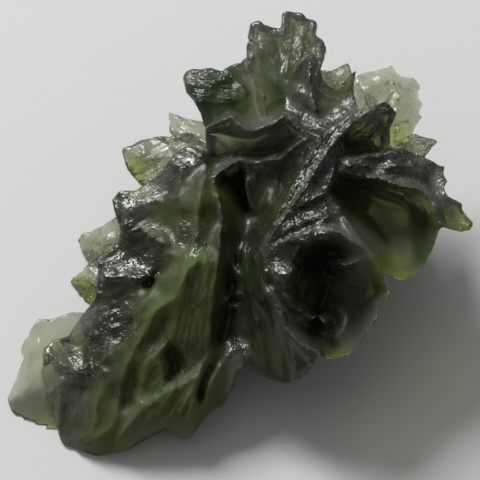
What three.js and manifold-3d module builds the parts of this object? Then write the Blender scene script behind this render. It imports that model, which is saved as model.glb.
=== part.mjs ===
import * as THREE from 'three';
import { mergeVertices } from 'three/addons/utils/BufferGeometryUtils.js';
import Module from 'manifold-3d';

// A moldavite of the hedgehog kind: one piece of bottle-green natural glass, eaten away by soil acids
// until its surface is all scoops with sharp crests between them. It is one solid, built from sheets
// of glass. Each sheet has an outline, its rim, and two skins that hang between crests.
//
// The shape is set out on a square grid over the broad face. A grid point is [across, up, out]: across
// to the right, up the face, and out of the face towards whoever looks at it, all in grid squares from
// the middle of the face. The front is drawn ten times finer: a drawn point is [across, down, out],
// across and down in steps from the drawing's top left corner, and out in grid squares as before.
// The whole grid is then scaled to millimetres, leaned back and stood on the ground.

const wasm = await Module();
wasm.setup();

// Driving sizes. Lengths are millimetres, and angles are degrees.
const STONE_WIDTH = 40;
const SQUARES_ACROSS = 47;
const FACE_LEAN = 25;

// The drawing of the front: its fineness, and where the middle of the face lies on it, in steps.
const STEPS_PER_SQUARE = 10;
const DRAWING_MIDDLE = 240;

// The same sizes in grid squares.
const SQUARE = STONE_WIDTH / SQUARES_ACROSS;
const REST_HEIGHT = 12.8;
const CELL = 1.2;
const CELLS_OUT = 20;
const CELLS_ACROSS = 2 * CELLS_OUT + 1;
const PRISM_BOTTOM = -30;
const PRISM_DEPTH = 50;
const SAMPLES_PER_SQUARE = 2.5;

// The ground that wears the tips flat is a block this wide, in millimetres.
const GROUND_WIDTH = 3 * STONE_WIDTH;

// Rim and wall thicknesses, in grid squares.
const RIM_THICKNESS = 0.45;
const WALL_GROWTH = 0.4;
const WALL_LIMIT = 3;
const BELLY_REACH = 1.2;

// How far a crest pulls the skin up around it, in grid squares.
const FRONT_PULL = 1.5;
const BACK_PULL = 1.8;
const PETAL_BACK_PULL = 4;

// The underside hangs this deep between its crests, and stays this far above the ground.
const BACK_DEPTH = -6.5;
const GROUND_CLEARANCE = 1;

// Relaxation of a skin between its crests.
const VALLEY_SPREAD = 2.2;
const FALLBACK_WEIGHT = 0.02;
const VALLEY_FALLBACK = -2;
const BACK_FLOOR_STEP = 3;
const BACK_FLOOR_REACH = 24;
const PETAL_DISH = 0.4;
const SWEEPS = 300;
const OVERRELAXATION = 1.5;

// The outline of the main mass, as drawn points.
const BODY_RIM = [
  [205, 127, -1.5], [218, 117, -1.6], [228, 109, -1.9], [238, 112, -1.9], [250, 121, -1.4],
  [262, 118, -1.5], [276, 112, -1.6], [284, 106, -1.9], [296, 108, -1.6], [334, 106, -1.0],
  [350, 110, 0.0], [362, 108, 0.6], [385, 100, 0.2], [397, 112, -0.4], [393, 130, -0.4], [392, 148, 0.0],
  [425, 157, -0.4], [450, 166, -0.6], [445, 174, -0.2], [449, 181, -0.2], [445, 188, 0.2],
  [448, 196, 0.6], [462, 203, 0.4], [466, 212, 0.4], [474, 224, 0.6], [470, 231, 1.0], [460, 233, 1.4],
  [441, 227, 2.0], [437, 236, 2.6], [432, 250, 3.2], [424, 266, 4.0], [412, 277, 4.6], [402, 282, 4.8],
  [388, 277, 4.8], [381, 270, 4.8], [384, 281, 5.4], [392, 296, 5.0], [381, 302, 5.3], [379, 318, 5.5],
  [366, 333, 5.6], [359, 344, 5.6], [350, 354, 5.8], [335, 360, 5.8], [320, 357, 4.8], [313, 368, 3.4],
  [298, 382, 1.6], [283, 384, 0.8], [264, 377, 0.2], [247, 366, 0.2], [238, 372, -0.2], [233, 390, -0.6],
  [222, 408, -1.2], [210, 415, -1.5], [198, 427, -2.0], [190, 439, -2.4], [180, 440, -2.4],
  [165, 430, -2.0], [147, 440, -2.4], [126, 452, -2.8], [102, 456, -3.2], [94, 460, -4.2],
  [75, 452, -4.2], [61, 446, -4.4], [55, 431, -4.4], [52, 412, -4.0], [46, 400, -4.0], [41, 380, -4.0],
  [42, 350, -3.8], [47, 342, -3.8], [68, 336, -3.6], [79, 319, -3.4], [90, 303, -3.2], [95, 298, -3.0],
  [96, 275, -2.8], [95, 258, -3.0], [110, 249, -2.8], [118, 240, -2.8], [118, 225, -3.0],
  [111, 208, -3.2], [109, 198, -3.4], [117, 189, -3.4], [135, 190, -3.2], [150, 179, -3.2],
  [164, 167, -3.0], [172, 154, -3.0], [182, 146, -3.0], [193, 144, -3.0], [204, 150, -2.6],
];

// The sharp crests of the front, as drawn points.
const FRONT_CRESTS = {
  spineLeft: [
    [256, 250, 3.4], [268, 230, 4.2], [284, 200, 4.2], [303, 165, 3.4], [322, 136, 2.2], [342, 121, 1.2],
    [360, 111, 0.8],
  ],
  spineMid: [
    [262, 252, 3.8], [276, 228, 4.6], [292, 206, 5.0], [312, 176, 4.6], [328, 150, 3.4], [348, 128, 1.9],
    [385, 100, 0.4],
  ],
  spineRight: [[300, 208, 4.8], [325, 192, 4.4], [334, 172, 3.2], [332, 160, 2.7]],
  sideCupRim: [
    [330, 160, 2.5], [352, 158, 1.8], [380, 154, 0.9], [400, 150, 0.4], [425, 157, -0.2],
    [446, 168, -0.6],
  ],
  sideCupFold: [
    [340, 172, 2.2], [362, 177, 2.5], [381, 179, 2.4], [400, 186, 2.3], [418, 189, 2.0], [432, 200, 1.8],
    [441, 226, 2.0],
  ],
  sideCupNick: [
    [346, 166, 2.3], [362, 165, 2.3], [378, 168, 1.1], [393, 167, 1.9], [408, 164, 0.7], [424, 172, 1.1],
  ],
  sideCupLeft: [
    [325, 192, 4.4], [336, 204, 4.6], [346, 221, 5.0], [362, 243, 5.2], [374, 258, 5.2], [381, 269, 4.9],
  ],
  frontCupOuter: [[283, 222, 4.0], [300, 212, 4.1], [322, 208, 4.0], [345, 218, 4.4]],
  frontCupTop: [
    [262, 262, 4.2], [270, 250, 4.6], [281, 243, 5.0], [300, 241, 5.8], [320, 235, 6.2], [339, 232, 6.1],
    [352, 242, 5.8], [366, 250, 5.6], [384, 280, 5.5],
  ],
  frontCupLeft: [
    [262, 252, 3.8], [263, 270, 4.2], [266, 290, 4.4], [278, 308, 4.4], [286, 328, 4.6], [300, 343, 5.0],
    [320, 352, 5.4],
  ],
  band1: [[266, 242, 4.2], [288, 229, 4.9], [308, 220, 5.1], [330, 216, 4.9]],
  band2: [[272, 247, 4.9], [292, 236, 5.5], [314, 228, 5.6], [336, 226, 5.5]],
  knobA: [[269, 268, 5.0], [279, 274, 5.8], [289, 276, 6.2], [297, 268, 6.1]],
  knobB: [[268, 284, 4.0], [279, 290, 4.3], [288, 298, 4.2], [291, 308, 3.6]],
  knobC: [[334, 260, 4.4], [344, 266, 5.0], [355, 262, 5.0], [368, 256, 5.0]],
  knobD: [[290, 302, 3.4], [300, 311, 3.9], [310, 309, 3.4]],
  knobE: [[310, 320, 3.2], [318, 315, 3.8], [326, 324, 3.6]],
  upperShelf: [
    [205, 127, -1.5], [216, 123, -0.6], [226, 119, 0.0], [233, 116, 0.0], [238, 124, 0.3],
    [246, 130, 0.4], [254, 132, 0.4], [264, 127, 0.5], [274, 124, 0.6], [282, 116, 0.2], [289, 117, 0.4],
    [294, 127, 1.0], [302, 129, 1.2], [318, 134, 1.8],
  ],
  lowerShelf: [
    [204, 162, -1.6], [208, 170, -0.8], [214, 180, 0.3], [219, 172, 0.4], [229, 166, 0.6],
    [241, 158, 0.9], [252, 161, 0.7], [278, 160, 1.0], [290, 150, 1.3], [303, 139, 1.5], [320, 134, 2.0],
  ],
  caveRight: [[241, 158, 0.9], [247, 170, 0.4], [248, 188, -0.2], [250, 205, -0.9], [256, 216, -1.4]],
  caveLeft: [[214, 180, 0.3], [216, 195, 0.3], [218, 215, 0.0], [222, 228, -0.4]],
  trunkLeft: [
    [207, 170, -0.4], [202, 186, 0.3], [199, 206, 0.8], [198, 228, 1.0], [194, 246, 1.1], [184, 262, 0.8],
    [170, 274, 0.4], [156, 284, 0.2], [146, 300, 0.1], [138, 316, 0.0], [128, 338, -0.3],
    [113, 360, -0.8], [103, 378, -1.1], [97, 400, -1.4], [95, 426, -1.8],
  ],
  trunkRight: [
    [214, 182, 0.5], [219, 200, 0.8], [221, 222, 1.0], [220, 244, 1.2], [218, 262, 1.3], [216, 280, 1.2],
    [213, 298, 1.1], [210, 326, 0.9], [208, 354, 0.6],
  ],
  strandLeft: [
    [206, 252, 1.4], [208, 264, 1.5], [206, 280, 1.3], [201, 296, 1.0], [190, 300, 0.9], [180, 297, 1.4],
  ],
  branchRight: [
    [206, 252, 1.4], [194, 262, 1.6], [186, 274, 1.8], [182, 286, 1.6], [180, 297, 1.4], [168, 302, 1.2],
    [156, 311, 1.0], [145, 330, 0.7], [135, 350, 0.3], [126, 368, 0.0], [121, 386, -0.4],
    [119, 404, -0.8], [113, 426, -1.2], [96, 440, -2.0], [76, 451, -3.4],
  ],
  panelEdge: [
    [190, 300, 0.9], [185, 312, 0.7], [184, 330, 0.3], [183, 346, 0.0], [186, 360, -0.1], [197, 362, 0.2],
    [208, 354, 0.6], [216, 347, 0.5],
  ],
  leafRight: [[180, 297, 1.4], [175, 318, 0.6], [172, 336, 0.3], [178, 352, 0.0], [186, 360, -0.1]],
  ridgeMid: [
    [172, 336, 0.3], [160, 352, 0.4], [149, 360, 0.5], [145, 376, 0.1], [139, 394, -0.4],
    [130, 412, -0.7], [120, 434, -1.4], [112, 454, -2.8],
  ],
  ridgeMidRight: [[149, 360, 0.5], [160, 362, 0.4], [164, 376, 0.2], [158, 397, -0.2]],
  leafLow: [
    [216, 347, 0.5], [210, 354, 0.8], [203, 364, 0.8], [190, 380, 0.6], [174, 388, 0.5], [158, 397, 0.3],
    [142, 410, 0.0], [128, 426, -0.5], [116, 444, -1.8],
  ],
  lowRidge2: [[203, 364, 0.8], [194, 392, 0.3], [180, 410, -0.1], [162, 424, -0.5], [147, 437, -1.6]],
  lowRidge3: [[194, 392, 0.3], [196, 408, 0.0], [190, 420, -0.3], [184, 437, -1.6]],
  lowRidge4: [[174, 388, 0.5], [162, 408, 0.1], [146, 422, -0.4], [132, 446, -2.0]],
  lowLeaf: [[234, 348, 0.1], [222, 364, 0.2], [212, 380, 0.0], [205, 398, -0.4], [198, 424, -1.6]],
  hem1: [[234, 330, -0.6], [241, 345, 0.1], [247, 364, 0.3]],
  hem2: [[247, 285, 1.2], [250, 305, 1.0], [258, 325, 1.4], [263, 350, 1.3], [266, 374, 0.4]],
  hem3: [[286, 328, 4.4], [292, 350, 3.2], [298, 380, 1.8]],
  hem4: [[278, 320, 3.2], [279, 345, 2.0], [283, 380, 1.0]],
  fleck: [[250, 282, 1.3], [240, 291, 0.9], [228, 298, 0.6], [233, 308, 0.3]],
  column: [[221, 196, -0.4], [224, 212, 0.3], [226, 232, 0.3]],
  rib1: [[222, 228, 0.2], [227, 245, -0.2], [232, 264, -0.3], [240, 276, 0.2], [250, 282, 1.3]],
  rib2: [[256, 216, -1.4], [246, 232, -1.2], [239, 250, -1.2], [237, 268, -1.2]],
  rib3: [[256, 250, 3.4], [250, 264, 2.0], [256, 280, 2.2], [262, 300, 2.8]],
  left1: [
    [96, 275, -2.8], [104, 277, -1.8], [122, 277, -0.9], [142, 277, -0.3], [160, 277, 0.1],
    [171, 273, 0.4],
  ],
  left2: [
    [97, 262, -2.6], [116, 262, -2.5], [136, 254, -2.1], [150, 248, -1.4], [166, 254, -0.2],
    [180, 256, 0.6],
  ],
  left3: [[118, 240, -2.6], [131, 240, -1.8], [145, 233, -1.2], [160, 243, -0.7], [176, 246, 0.0]],
  left4: [[117, 200, -3.0], [128, 212, -2.4], [140, 204, -2.0], [160, 199, -1.6], [180, 196, -0.8]],
  left5: [[168, 162, -2.6], [176, 164, -1.6], [186, 166, -1.2], [197, 160, -1.4], [204, 152, -1.8]],
  left6: [
    [180, 165, -1.2], [179, 185, -1.0], [181, 205, -0.6], [178, 226, -0.3], [177, 246, 0.0],
    [183, 258, 0.6],
  ],
  left8: [[125, 212, -2.4], [124, 228, -2.2], [130, 240, -1.8]],
  silver1: [
    [70, 338, -3.4], [85, 332, -2.6], [100, 327, -2.0], [120, 323, -1.2], [138, 310, -0.2],
    [145, 301, 0.1],
  ],
  silver2: [
    [44, 352, -3.6], [54, 358, -2.8], [66, 368, -2.3], [82, 372, -1.9], [96, 366, -1.3], [108, 356, -0.9],
    [120, 348, -0.5],
  ],
  block1: [[47, 397, -3.8], [60, 384, -3.0], [78, 374, -2.4], [95, 372, -1.6], [106, 372, -0.6]],
  block2: [[60, 384, -3.0], [60, 405, -3.2], [58, 425, -3.8], [62, 444, -4.2]],
  block3: [[97, 430, -2.0], [84, 438, -2.8], [66, 446, -4.0]],
  block4: [[78, 374, -2.4], [80, 392, -3.2], [74, 412, -3.6], [78, 430, -3.6]],
};

// The bottoms of its narrow hollows, as drawn points.
const FRONT_HOLLOWS = {
  shelf: [
    [212, 156, -3.2], [228, 156, -3.0], [245, 152, -2.8], [262, 153, -2.6], [280, 150, -2.2],
    [292, 140, -1.2],
  ],
  cave: [[228, 178, -3.4], [238, 180, -5.0], [244, 194, -4.6], [250, 212, -3.8]],
  gap1: [[230, 266, -1.2], [233, 290, -1.6], [229, 320, -1.6], [223, 340, -1.2]],
  gap2: [[212, 366, -1.0], [203, 384, -1.6], [200, 400, -2.0]],
  gap3: [[169, 350, -0.9], [175, 366, -1.5], [170, 380, -1.1]],
  gap4: [[135, 368, -0.8], [130, 388, -1.2], [124, 410, -1.8]],
  leaf1: [[167, 316, 0.2], [160, 330, -0.2], [155, 344, -0.3]],
  leaf2: [[199, 271, 1.2], [192, 287, 0.9]],
  branchEdge: [[170, 262, -0.7], [158, 271, -1.3], [148, 284, -2.0]],
  branchEdge2: [[130, 322, -1.4], [118, 338, -1.8]],
  panel: [[190, 308, 0.75], [190, 345, 0.15]],
  panel2: [[200, 308, 0.85], [200, 345, 0.3]],
  frontCupIn: [[306, 264, -0.5], [322, 254, -1.2], [340, 254, 0.0]],
  frontCupDeep: [[318, 262, -2.5], [330, 285, -3.0], [318, 312, -2.5], [315, 330, -0.5]],
  sideCupIn: [[352, 182, -2.0], [380, 190, -4.5], [405, 200, -4.5], [420, 215, -2.0]],
  sideCupDeep: [[365, 210, -5.0], [385, 235, -4.0], [400, 258, -0.5]],
  band: [[270, 243, 4.3], [290, 232, 4.6], [311, 224, 4.7], [333, 221, 4.8]],
  finIn: [[350, 142, -2.2], [368, 136, -3.0], [378, 148, -2.0]],
  block: [[66, 344, -3.9], [80, 346, -3.4], [92, 340, -2.8]],
};

// The keels of the underside, as grid points.
const BACK_CRESTS = {
  footRight: [[1, 1, -12], [6, 3, -13], [10, 6, -17.6], [13, 8, -13], [17, 8, -5]],
  footFront: [[1, 1, -12], [5, -4, -10], [9, -9, -10.6], [11, -12, -4]],
  footCorner: [[1, 1, -12], [-2, -6, -9], [-6, -12, -8], [-11, -18.5, -6.0]],
  footLeft: [[1, 1, -12], [-5, -3, -11], [-10, -3, -12], [-14.5, -3.4, -12.9]],
  leftRoot: [[-5, -3, -11], [-9, 1, -11.5], [-13, 0.5, -11.5]],
  backLeft: [[1, 1, -12], [-3, 6, -13], [-4, 8, -16], [-8, 11, -10]],
  top: [[1, 1, -12], [3, 9, -12], [5, 13, -11], [6, 14.5, -6]],
  right: [[1, 1, -12], [8, 0, -9], [14, -1, -9], [19, 0, -3]],
  topRight: [[10, 6, -17.6], [11, 10, -11], [13, 12, -7]],
  hem: [[-2, -6, -9], [2, -11, -7.5], [4, -13.5, -2.5]],
  corner: [[-6, -12, -8], [-13, -12, -8], [-18, -12, -6.0]],
  ringA: [[5, -4, -10], [8, 0, -9], [6, 3, -13]],
  ringB: [[-2, -6, -9], [-5, -3, -11], [-3, 6, -13], [3, 9, -12], [6, 3, -13]],
};

// How deep the front hangs between its crests, here and there, as drawn points.
const VALLEY_FLOORS = [
  [240, 145, -2.4], [280, 142, -1.8], [215, 148, -2.8], [262, 190, -2.0], [266, 215, -3.0],
  [235, 225, -1.6], [190, 180, -1.6], [190, 225, -0.9], [150, 220, -3.0], [130, 222, -3.6],
  [150, 262, -2.6], [128, 292, -2.8], [110, 300, -2.8], [150, 286, -1.0], [165, 235, -1.8],
  [122, 328, -1.2], [100, 345, -2.4], [60, 365, -4.6], [75, 400, -4.6], [80, 425, -4.8], [108, 408, -1.6],
  [108, 440, -2.4], [150, 330, -0.3], [195, 325, 0.2], [148, 404, -0.9], [160, 428, -1.5],
  [176, 412, -1.0], [215, 395, -1.6], [245, 330, -1.8], [272, 355, 0.0], [250, 300, -1.0],
  [320, 285, -3.0], [340, 310, -2.0], [345, 330, -0.5], [300, 325, 0.0], [375, 290, 0.0],
  [370, 205, -4.5], [400, 215, -4.5], [385, 250, -3.0], [420, 240, -2.5], [430, 180, -1.5],
  [455, 220, -0.4], [365, 140, -3.0], [410, 165, -0.6], [242, 245, -3.0], [208, 215, 0.8],
  [206, 240, 0.9], [190, 264, 1.2], [176, 284, 0.9], [164, 291, 0.7], [152, 302, 0.5], [138, 322, 0.2],
  [122, 345, -0.3], [108, 370, -0.8], [178, 340, -0.6], [135, 350, -0.4], [145, 375, -0.7],
  [140, 392, -1.0], [112, 390, -1.2], [172, 396, -0.4], [190, 402, -0.9], [226, 205, -0.9],
  [165, 180, -3.4], [285, 120, -1.8], [250, 118, -2.4], [278, 262, 5.0], [288, 264, 5.5], [276, 292, 4.0],
  [345, 259, 3.8], [358, 256, 4.4], [330, 122, -1.0], [305, 225, 4.0],
];

// The thin petals around the edge: their rims and crests are drawn points.
const PETALS = {
  tower: {
    belly: 3.4,
    floor: -4.6,
    rim: [
      [247, 57, -4.2], [247, 40, -4.6], [250, 22, -5.0], [259, 18, -5.0], [270, 25, -4.8],
      [281, 27, -4.8], [282, 11, -5.2], [287, 9, -5.2], [300, 10, -5.2], [308, 14, -5.2], [317, 19, -5],
      [319, 25, -5], [318, 34, -4.8], [325, 40, -4.6], [327, 49, -4.4], [325, 58, -4.2], [321, 70, -4.0],
      [322, 95, -3.4], [316, 118, -3.2], [290, 128, -3.4], [265, 128, -3.4], [250, 110, -3.2],
      [244, 80, -3.6],
    ],
    crests: [
      [[259, 18, -5], [262, 45, -4.0], [266, 75, -3.6], [270, 110, -3.2]],
      [[270, 25, -4.8], [274, 50, -3.9], [276, 85, -3.0]],
      [[283, 27, -4.8], [300, 27, -4.6], [318, 25, -5]],
      [[283, 11, -5.2], [284, 30, -4.4], [288, 60, -3.4], [286, 90, -2.6]],
      [[302, 10, -5.2], [303, 40, -4.0], [296, 80, -3.0]],
      [[319, 34, -4.8], [312, 55, -3.8], [306, 90, -3.0]],
    ],
  },
  shoulder: {
    belly: 3.8,
    floor: -3.2,
    rim: [
      [205, 130, -2.8], [200, 112, -2.6], [194, 101, -3.0], [186, 92, -3.4], [182, 76, -3.8],
      [186, 70, -3.9], [191, 67, -4.0], [200, 68, -4.0], [210, 66, -4.0], [222, 70, -3.8],
      [226, 66, -3.8], [236, 62, -3.8], [247, 57, -3.8], [258, 70, -3.4], [266, 95, -2.8],
      [268, 126, -2.8], [240, 134, -2.8], [218, 130, -2.8],
    ],
    crests: [
      [[184, 82, -3.2], [198, 85, -2.4], [212, 84, -2.3], [224, 78, -2.8]],
      [[188, 93, -3.1], [204, 97, -2.2], [220, 96, -2.2], [236, 100, -2.0]],
      [[191, 67, -4], [205, 76, -3.0], [218, 80, -2.6]],
      [[226, 66, -3.8], [236, 78, -3.0], [246, 94, -2.6]],
    ],
  },
  spike: {
    belly: 4.4,
    floor: -1.6,
    rim: [
      [285, 96, -2.0], [284, 86, -2.0], [290, 74, -1.8], [298, 62, -1.6], [305, 54, -1.5],
      [313, 50, -1.5], [319, 60, -1.5], [322, 74, -1.4], [327, 83, -1.3], [333, 87, -1.2],
      [340, 82, -1.3], [350, 74, -1.6], [357, 68, -1.9], [355, 80, -1.7], [355, 92, -1.4],
      [360, 108, -0.6], [346, 120, 0.3], [322, 134, 1.2], [296, 126, 0.0], [284, 112, -1.2],
    ],
    crests: [
      [[313, 50, -1.5], [311, 64, -0.8], [310, 80, -0.4], [312, 96, -0.3], [316, 110, 0.2]],
      [[285, 96, -2], [297, 95, -1.2], [308, 92, -0.9]],
    ],
  },
  saddle: {
    belly: 1.5,
    floor: -3.0,
    rim: [
      [317, 66, -3.6], [322, 69, -3.4], [330, 70, -3.2], [341, 65, -3.3], [349, 61, -3.6],
      [352, 70, -3.2], [354, 86, -2.6], [345, 104, -2.2], [322, 102, -2.4], [314, 82, -3.2],
    ],
    crests: [
      [[349, 61, -3.6], [345, 72, -2.6], [334, 84, -2.2]],
    ],
  },
  paleFan: {
    belly: 0.8,
    floor: -6.2,
    rim: [
      [351, 92, -5.0], [353, 80, -5.4], [358, 72, -5.6], [370, 70, -5.8], [380, 67, -6.0],
      [388, 66, -6.2], [393, 62, -6.4], [397, 69, -6.3], [403, 74, -6.2], [417, 76, -6.4],
      [424, 85, -6.4], [420, 93, -6.0], [425, 102, -6.0], [421, 112, -5.6], [425, 116, -5.6],
      [418, 125, -5.0], [412, 136, -4.4], [396, 152, -3.4], [374, 146, -3.4], [356, 122, -4.0],
    ],
    crests: [
      [[380, 67, -5.9], [387, 80, -4.2], [393, 98, -3.6], [388, 120, -3.0]],
      [[388, 66, -6.0], [395, 80, -4.2], [401, 98, -3.6], [395, 120, -3.0]],
      [[358, 98, -4.6], [370, 86, -4.2], [380, 74, -5.0]],
      [[424, 85, -6.4], [408, 90, -4.7], [398, 98, -3.6]],
      [[358, 72, -5.6], [364, 88, -4.3], [370, 104, -3.6]],
      [[370, 70, -5.8], [377, 84, -4.3]],
      [[417, 76, -6.4], [409, 85, -4.9]],
      [[425, 102, -6.0], [413, 103, -4.6], [401, 106, -4.0]],
      [[418, 125, -5.0], [406, 123, -3.6], [396, 132, -3.0]],
      [[421, 112, -5.6], [408, 112, -4.0], [395, 122, -3.1]],
      [[403, 74, -6.2], [400, 86, -4.6]],
    ],
  },
  pointedFin: {
    belly: 1.8,
    floor: -1.6,
    rim: [
      [386, 154, 0.6], [397, 143, -0.8], [411, 133, -1.6], [430, 136, -2.0], [440, 141, -2.2],
      [433, 148, -1.8], [426, 158, -1.2], [412, 168, -0.4], [392, 166, 0.6],
    ],
    crests: [
      [[440, 141, -2.2], [420, 143, -1.1], [402, 148, 0.2]],
      [[411, 133, -1.6], [412, 145, -0.8]],
    ],
  },
  cornerLobe: {
    belly: 0.1,
    floor: -5.6,
    rim: [
      [84, 312, -4.6], [70, 312, -4.9], [50, 320, -5.2], [38, 318, -5.4], [33, 324, -5.4],
      [22, 340, -5.6], [18, 351, -5.7], [22, 358, -5.7], [14, 380, -6.0], [5, 400, -6.1], [8, 410, -5.9],
      [14, 418, -5.6], [30, 424, -5.3], [42, 431, -5.0], [58, 434, -4.8], [78, 420, -5.2],
      [92, 390, -5.2], [96, 345, -4.8],
    ],
    crests: [
      [[33, 324, -5.4], [40, 350, -4.9], [46, 400, -4.8]],
      [[14, 380, -6.0], [30, 385, -5.3], [46, 392, -4.9]],
      [[50, 320, -5.2], [56, 350, -4.7], [60, 400, -4.8]],
      [[38, 318, -5.4], [30, 350, -5.0], [24, 392, -5.3], [30, 424, -5.3]],
      [[22, 358, -5.7], [36, 364, -5.0], [50, 368, -4.8]],
    ],
  },
  backLobe1: {
    belly: 1.2,
    floor: -10.6,
    rim: [
      [63, 282, -12.2], [70, 278, -11.8], [80, 272, -11.4], [84, 262, -11.0], [96, 254, -10.0],
      [124, 256, -8.0], [134, 285, -7.5], [112, 306, -8.4], [96, 303, -9.6], [85, 304, -10.8],
      [76, 300, -11.4], [70, 290, -12.0],
    ],
    crests: [
      [[63, 282, -12.2], [82, 282, -10.4], [100, 280, -8.8]],
      [[84, 262, -11.0], [92, 275, -9.8], [90, 300, -10.6]],
    ],
  },
  backLobe2: {
    belly: 1.2,
    floor: -11.4,
    rim: [
      [75, 240, -13.0], [80, 233, -12.8], [90, 230, -12.4], [100, 226, -12.0], [116, 214, -11.0],
      [134, 212, -9.2], [144, 240, -8.4], [124, 258, -8.8], [108, 262, -10.2], [95, 264, -11.4],
      [82, 258, -12.6], [78, 250, -13.0],
    ],
    crests: [
      [[75, 240, -13.0], [95, 244, -11.0], [118, 242, -9.2]],
      [[100, 226, -12.0], [108, 236, -10.6], [100, 254, -10.8]],
    ],
  },
  backLobe3: {
    belly: 2.0,
    floor: -10.2,
    rim: [
      [119, 148, -10.4], [122, 144, -10.5], [130, 144, -10.4], [140, 138, -10.4], [155, 135, -10.2],
      [168, 134, -10.0], [190, 130, -9.4], [208, 140, -8.4], [205, 175, -7.0], [175, 190, -7.8],
      [150, 192, -9.0], [137, 184, -9.6], [126, 170, -10.0], [121, 158, -10.2],
    ],
    crests: [
      [[119, 148, -10.4], [138, 156, -9.3], [156, 158, -8.8], [178, 154, -8.2]],
      [[140, 138, -10.4], [144, 150, -9.6], [140, 166, -9.2], [137, 184, -9.6]],
      [[168, 134, -10.0], [170, 150, -8.9], [160, 172, -8.2]],
      [[150, 192, -9.0], [162, 176, -8.0], [182, 166, -7.4]],
    ],
  },
  backLobe4: {
    belly: 1.1,
    floor: -11.6,
    rim: [
      [164, 107, -13.2], [170, 109, -12.9], [184, 116, -12.2], [200, 119, -11.4], [214, 122, -10.2],
      [214, 146, -8.6], [190, 150, -9.0], [175, 140, -10.8], [168, 130, -12.0], [168, 120, -12.6],
    ],
    crests: [
      [[164, 107, -13.2], [182, 126, -11.2], [200, 134, -9.8]],
    ],
  },
};

const LEAN = THREE.MathUtils.degToRad(FACE_LEAN);

// From the drawing, in grid squares, to the stone on the ground, in millimetres.
const PLACE = new THREE.Matrix4()
  .makeTranslation(0, 0, REST_HEIGHT * SQUARE)
  .multiply(new THREE.Matrix4().makeRotationX(LEAN))
  .multiply(new THREE.Matrix4().makeScale(SQUARE, SQUARE, SQUARE));

/** Where the ground lies, measured out of the leaning face, at a height up the face. */
function groundLevel(up) {
  return -(REST_HEIGHT + up * Math.sin(LEAN)) / Math.cos(LEAN);
}

/** A drawn line as grid points. */
function drawn(line) {
  return line.map(([across, down, out]) => [
    (across - DRAWING_MIDDLE) / STEPS_PER_SQUARE,
    (DRAWING_MIDDLE - down) / STEPS_PER_SQUARE,
    out,
  ]);
}

/** The place of a grid point in a skin's list of heights. */
function cellAt(across, up) {
  const column = CELLS_OUT + Math.round(across / CELL);
  const row = CELLS_OUT - Math.round(up / CELL);
  return row * CELLS_ACROSS + column;
}

/** Calls visit(across, up, cell) for every cell of a skin. */
function eachCell(visit) {
  for (let row = 0; row < CELLS_ACROSS; row += 1) {
    for (let column = 0; column < CELLS_ACROSS; column += 1) {
      visit((column - CELLS_OUT) * CELL, (CELLS_OUT - row) * CELL, row * CELLS_ACROSS + column);
    }
  }
}

/** The points of a closed outline, with its first point repeated at the end. */
function closed(rim) {
  return [...rim, rim[0]];
}

/** An outline moved out of the face by a distance. */
function lifted(rim, distance) {
  return rim.map(([across, up, out]) => [across, up, out + distance]);
}

/** Heights along the lines, averaged in each grid cell that they cross. */
function heightsOnLines(lines) {
  const sums = new Map();
  for (const line of lines) {
    for (let i = 1; i < line.length; i += 1) {
      const start = new THREE.Vector3(...line[i - 1]);
      const end = new THREE.Vector3(...line[i]);
      const steps = Math.ceil(SAMPLES_PER_SQUARE * start.distanceTo(end)) + 1;
      for (let step = 0; step <= steps; step += 1) {
        const point = start.clone().lerp(end, step / steps);
        const cell = cellAt(point.x, point.y);
        const [sum, count] = sums.get(cell) ?? [0, 0];
        sums.set(cell, [sum + point.z, count + 1]);
      }
    }
  }
  return new Map([...sums].map(([cell, [sum, count]]) => [cell, sum / count]));
}

/** Smooth valley heights, blended from the nearest floor points. */
function valleyHeights(floors, fallback) {
  const heights = new Float64Array(CELLS_ACROSS ** 2);
  eachCell((across, up, cell) => {
    let total = FALLBACK_WEIGHT * fallback;
    let weights = FALLBACK_WEIGHT;
    for (const [floorAcross, floorUp, height] of floors) {
      const squared = (across - floorAcross) ** 2 + (up - floorUp) ** 2;
      const weight = Math.exp(-squared / (2 * VALLEY_SPREAD ** 2));
      total += weight * height;
      weights += weight;
    }
    heights[cell] = total / weights;
  });
  return heights;
}

/** A skin that hangs from its crests down to the valley heights, as a wet sheet hangs over ropes. */
function skin(lines, floors, fallback, pull) {
  const fixed = heightsOnLines(lines);
  const valleys = valleyHeights(floors, fallback);
  const heights = Float64Array.from(valleys);
  fixed.forEach((height, cell) => {
    heights[cell] = height;
  });
  const sag = (CELL / pull) ** 2;
  for (let sweep = 0; sweep < SWEEPS; sweep += 1) {
    eachCell((across, up, cell) => {
      const onEdge = Math.round(Math.max(Math.abs(across), Math.abs(up)) / CELL) === CELLS_OUT;
      if (onEdge || fixed.has(cell)) {
        return;
      }
      const around = heights[cell - 1] + heights[cell + 1]
        + heights[cell - CELLS_ACROSS] + heights[cell + CELLS_ACROSS];
      const settled = (around + sag * valleys[cell]) / (4 + sag);
      heights[cell] += OVERRELAXATION * (settled - heights[cell]);
    });
  }
  return heights;
}

/** The shortest distance from a point of the drawing to an outline. */
function rimDistance(rim, across, up) {
  const point = new THREE.Vector3(across, up, 0);
  const nearest = new THREE.Vector3();
  const edge = new THREE.Line3();
  let least = Infinity;
  closed(rim).forEach(([endAcross, endUp], i, points) => {
    if (i > 0) {
      edge.start.set(points[i - 1][0], points[i - 1][1], 0);
      edge.end.set(endAcross, endUp, 0);
      edge.closestPointToPoint(point, true, nearest);
      least = Math.min(least, nearest.distanceTo(point));
    }
  });
  return least;
}

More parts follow.
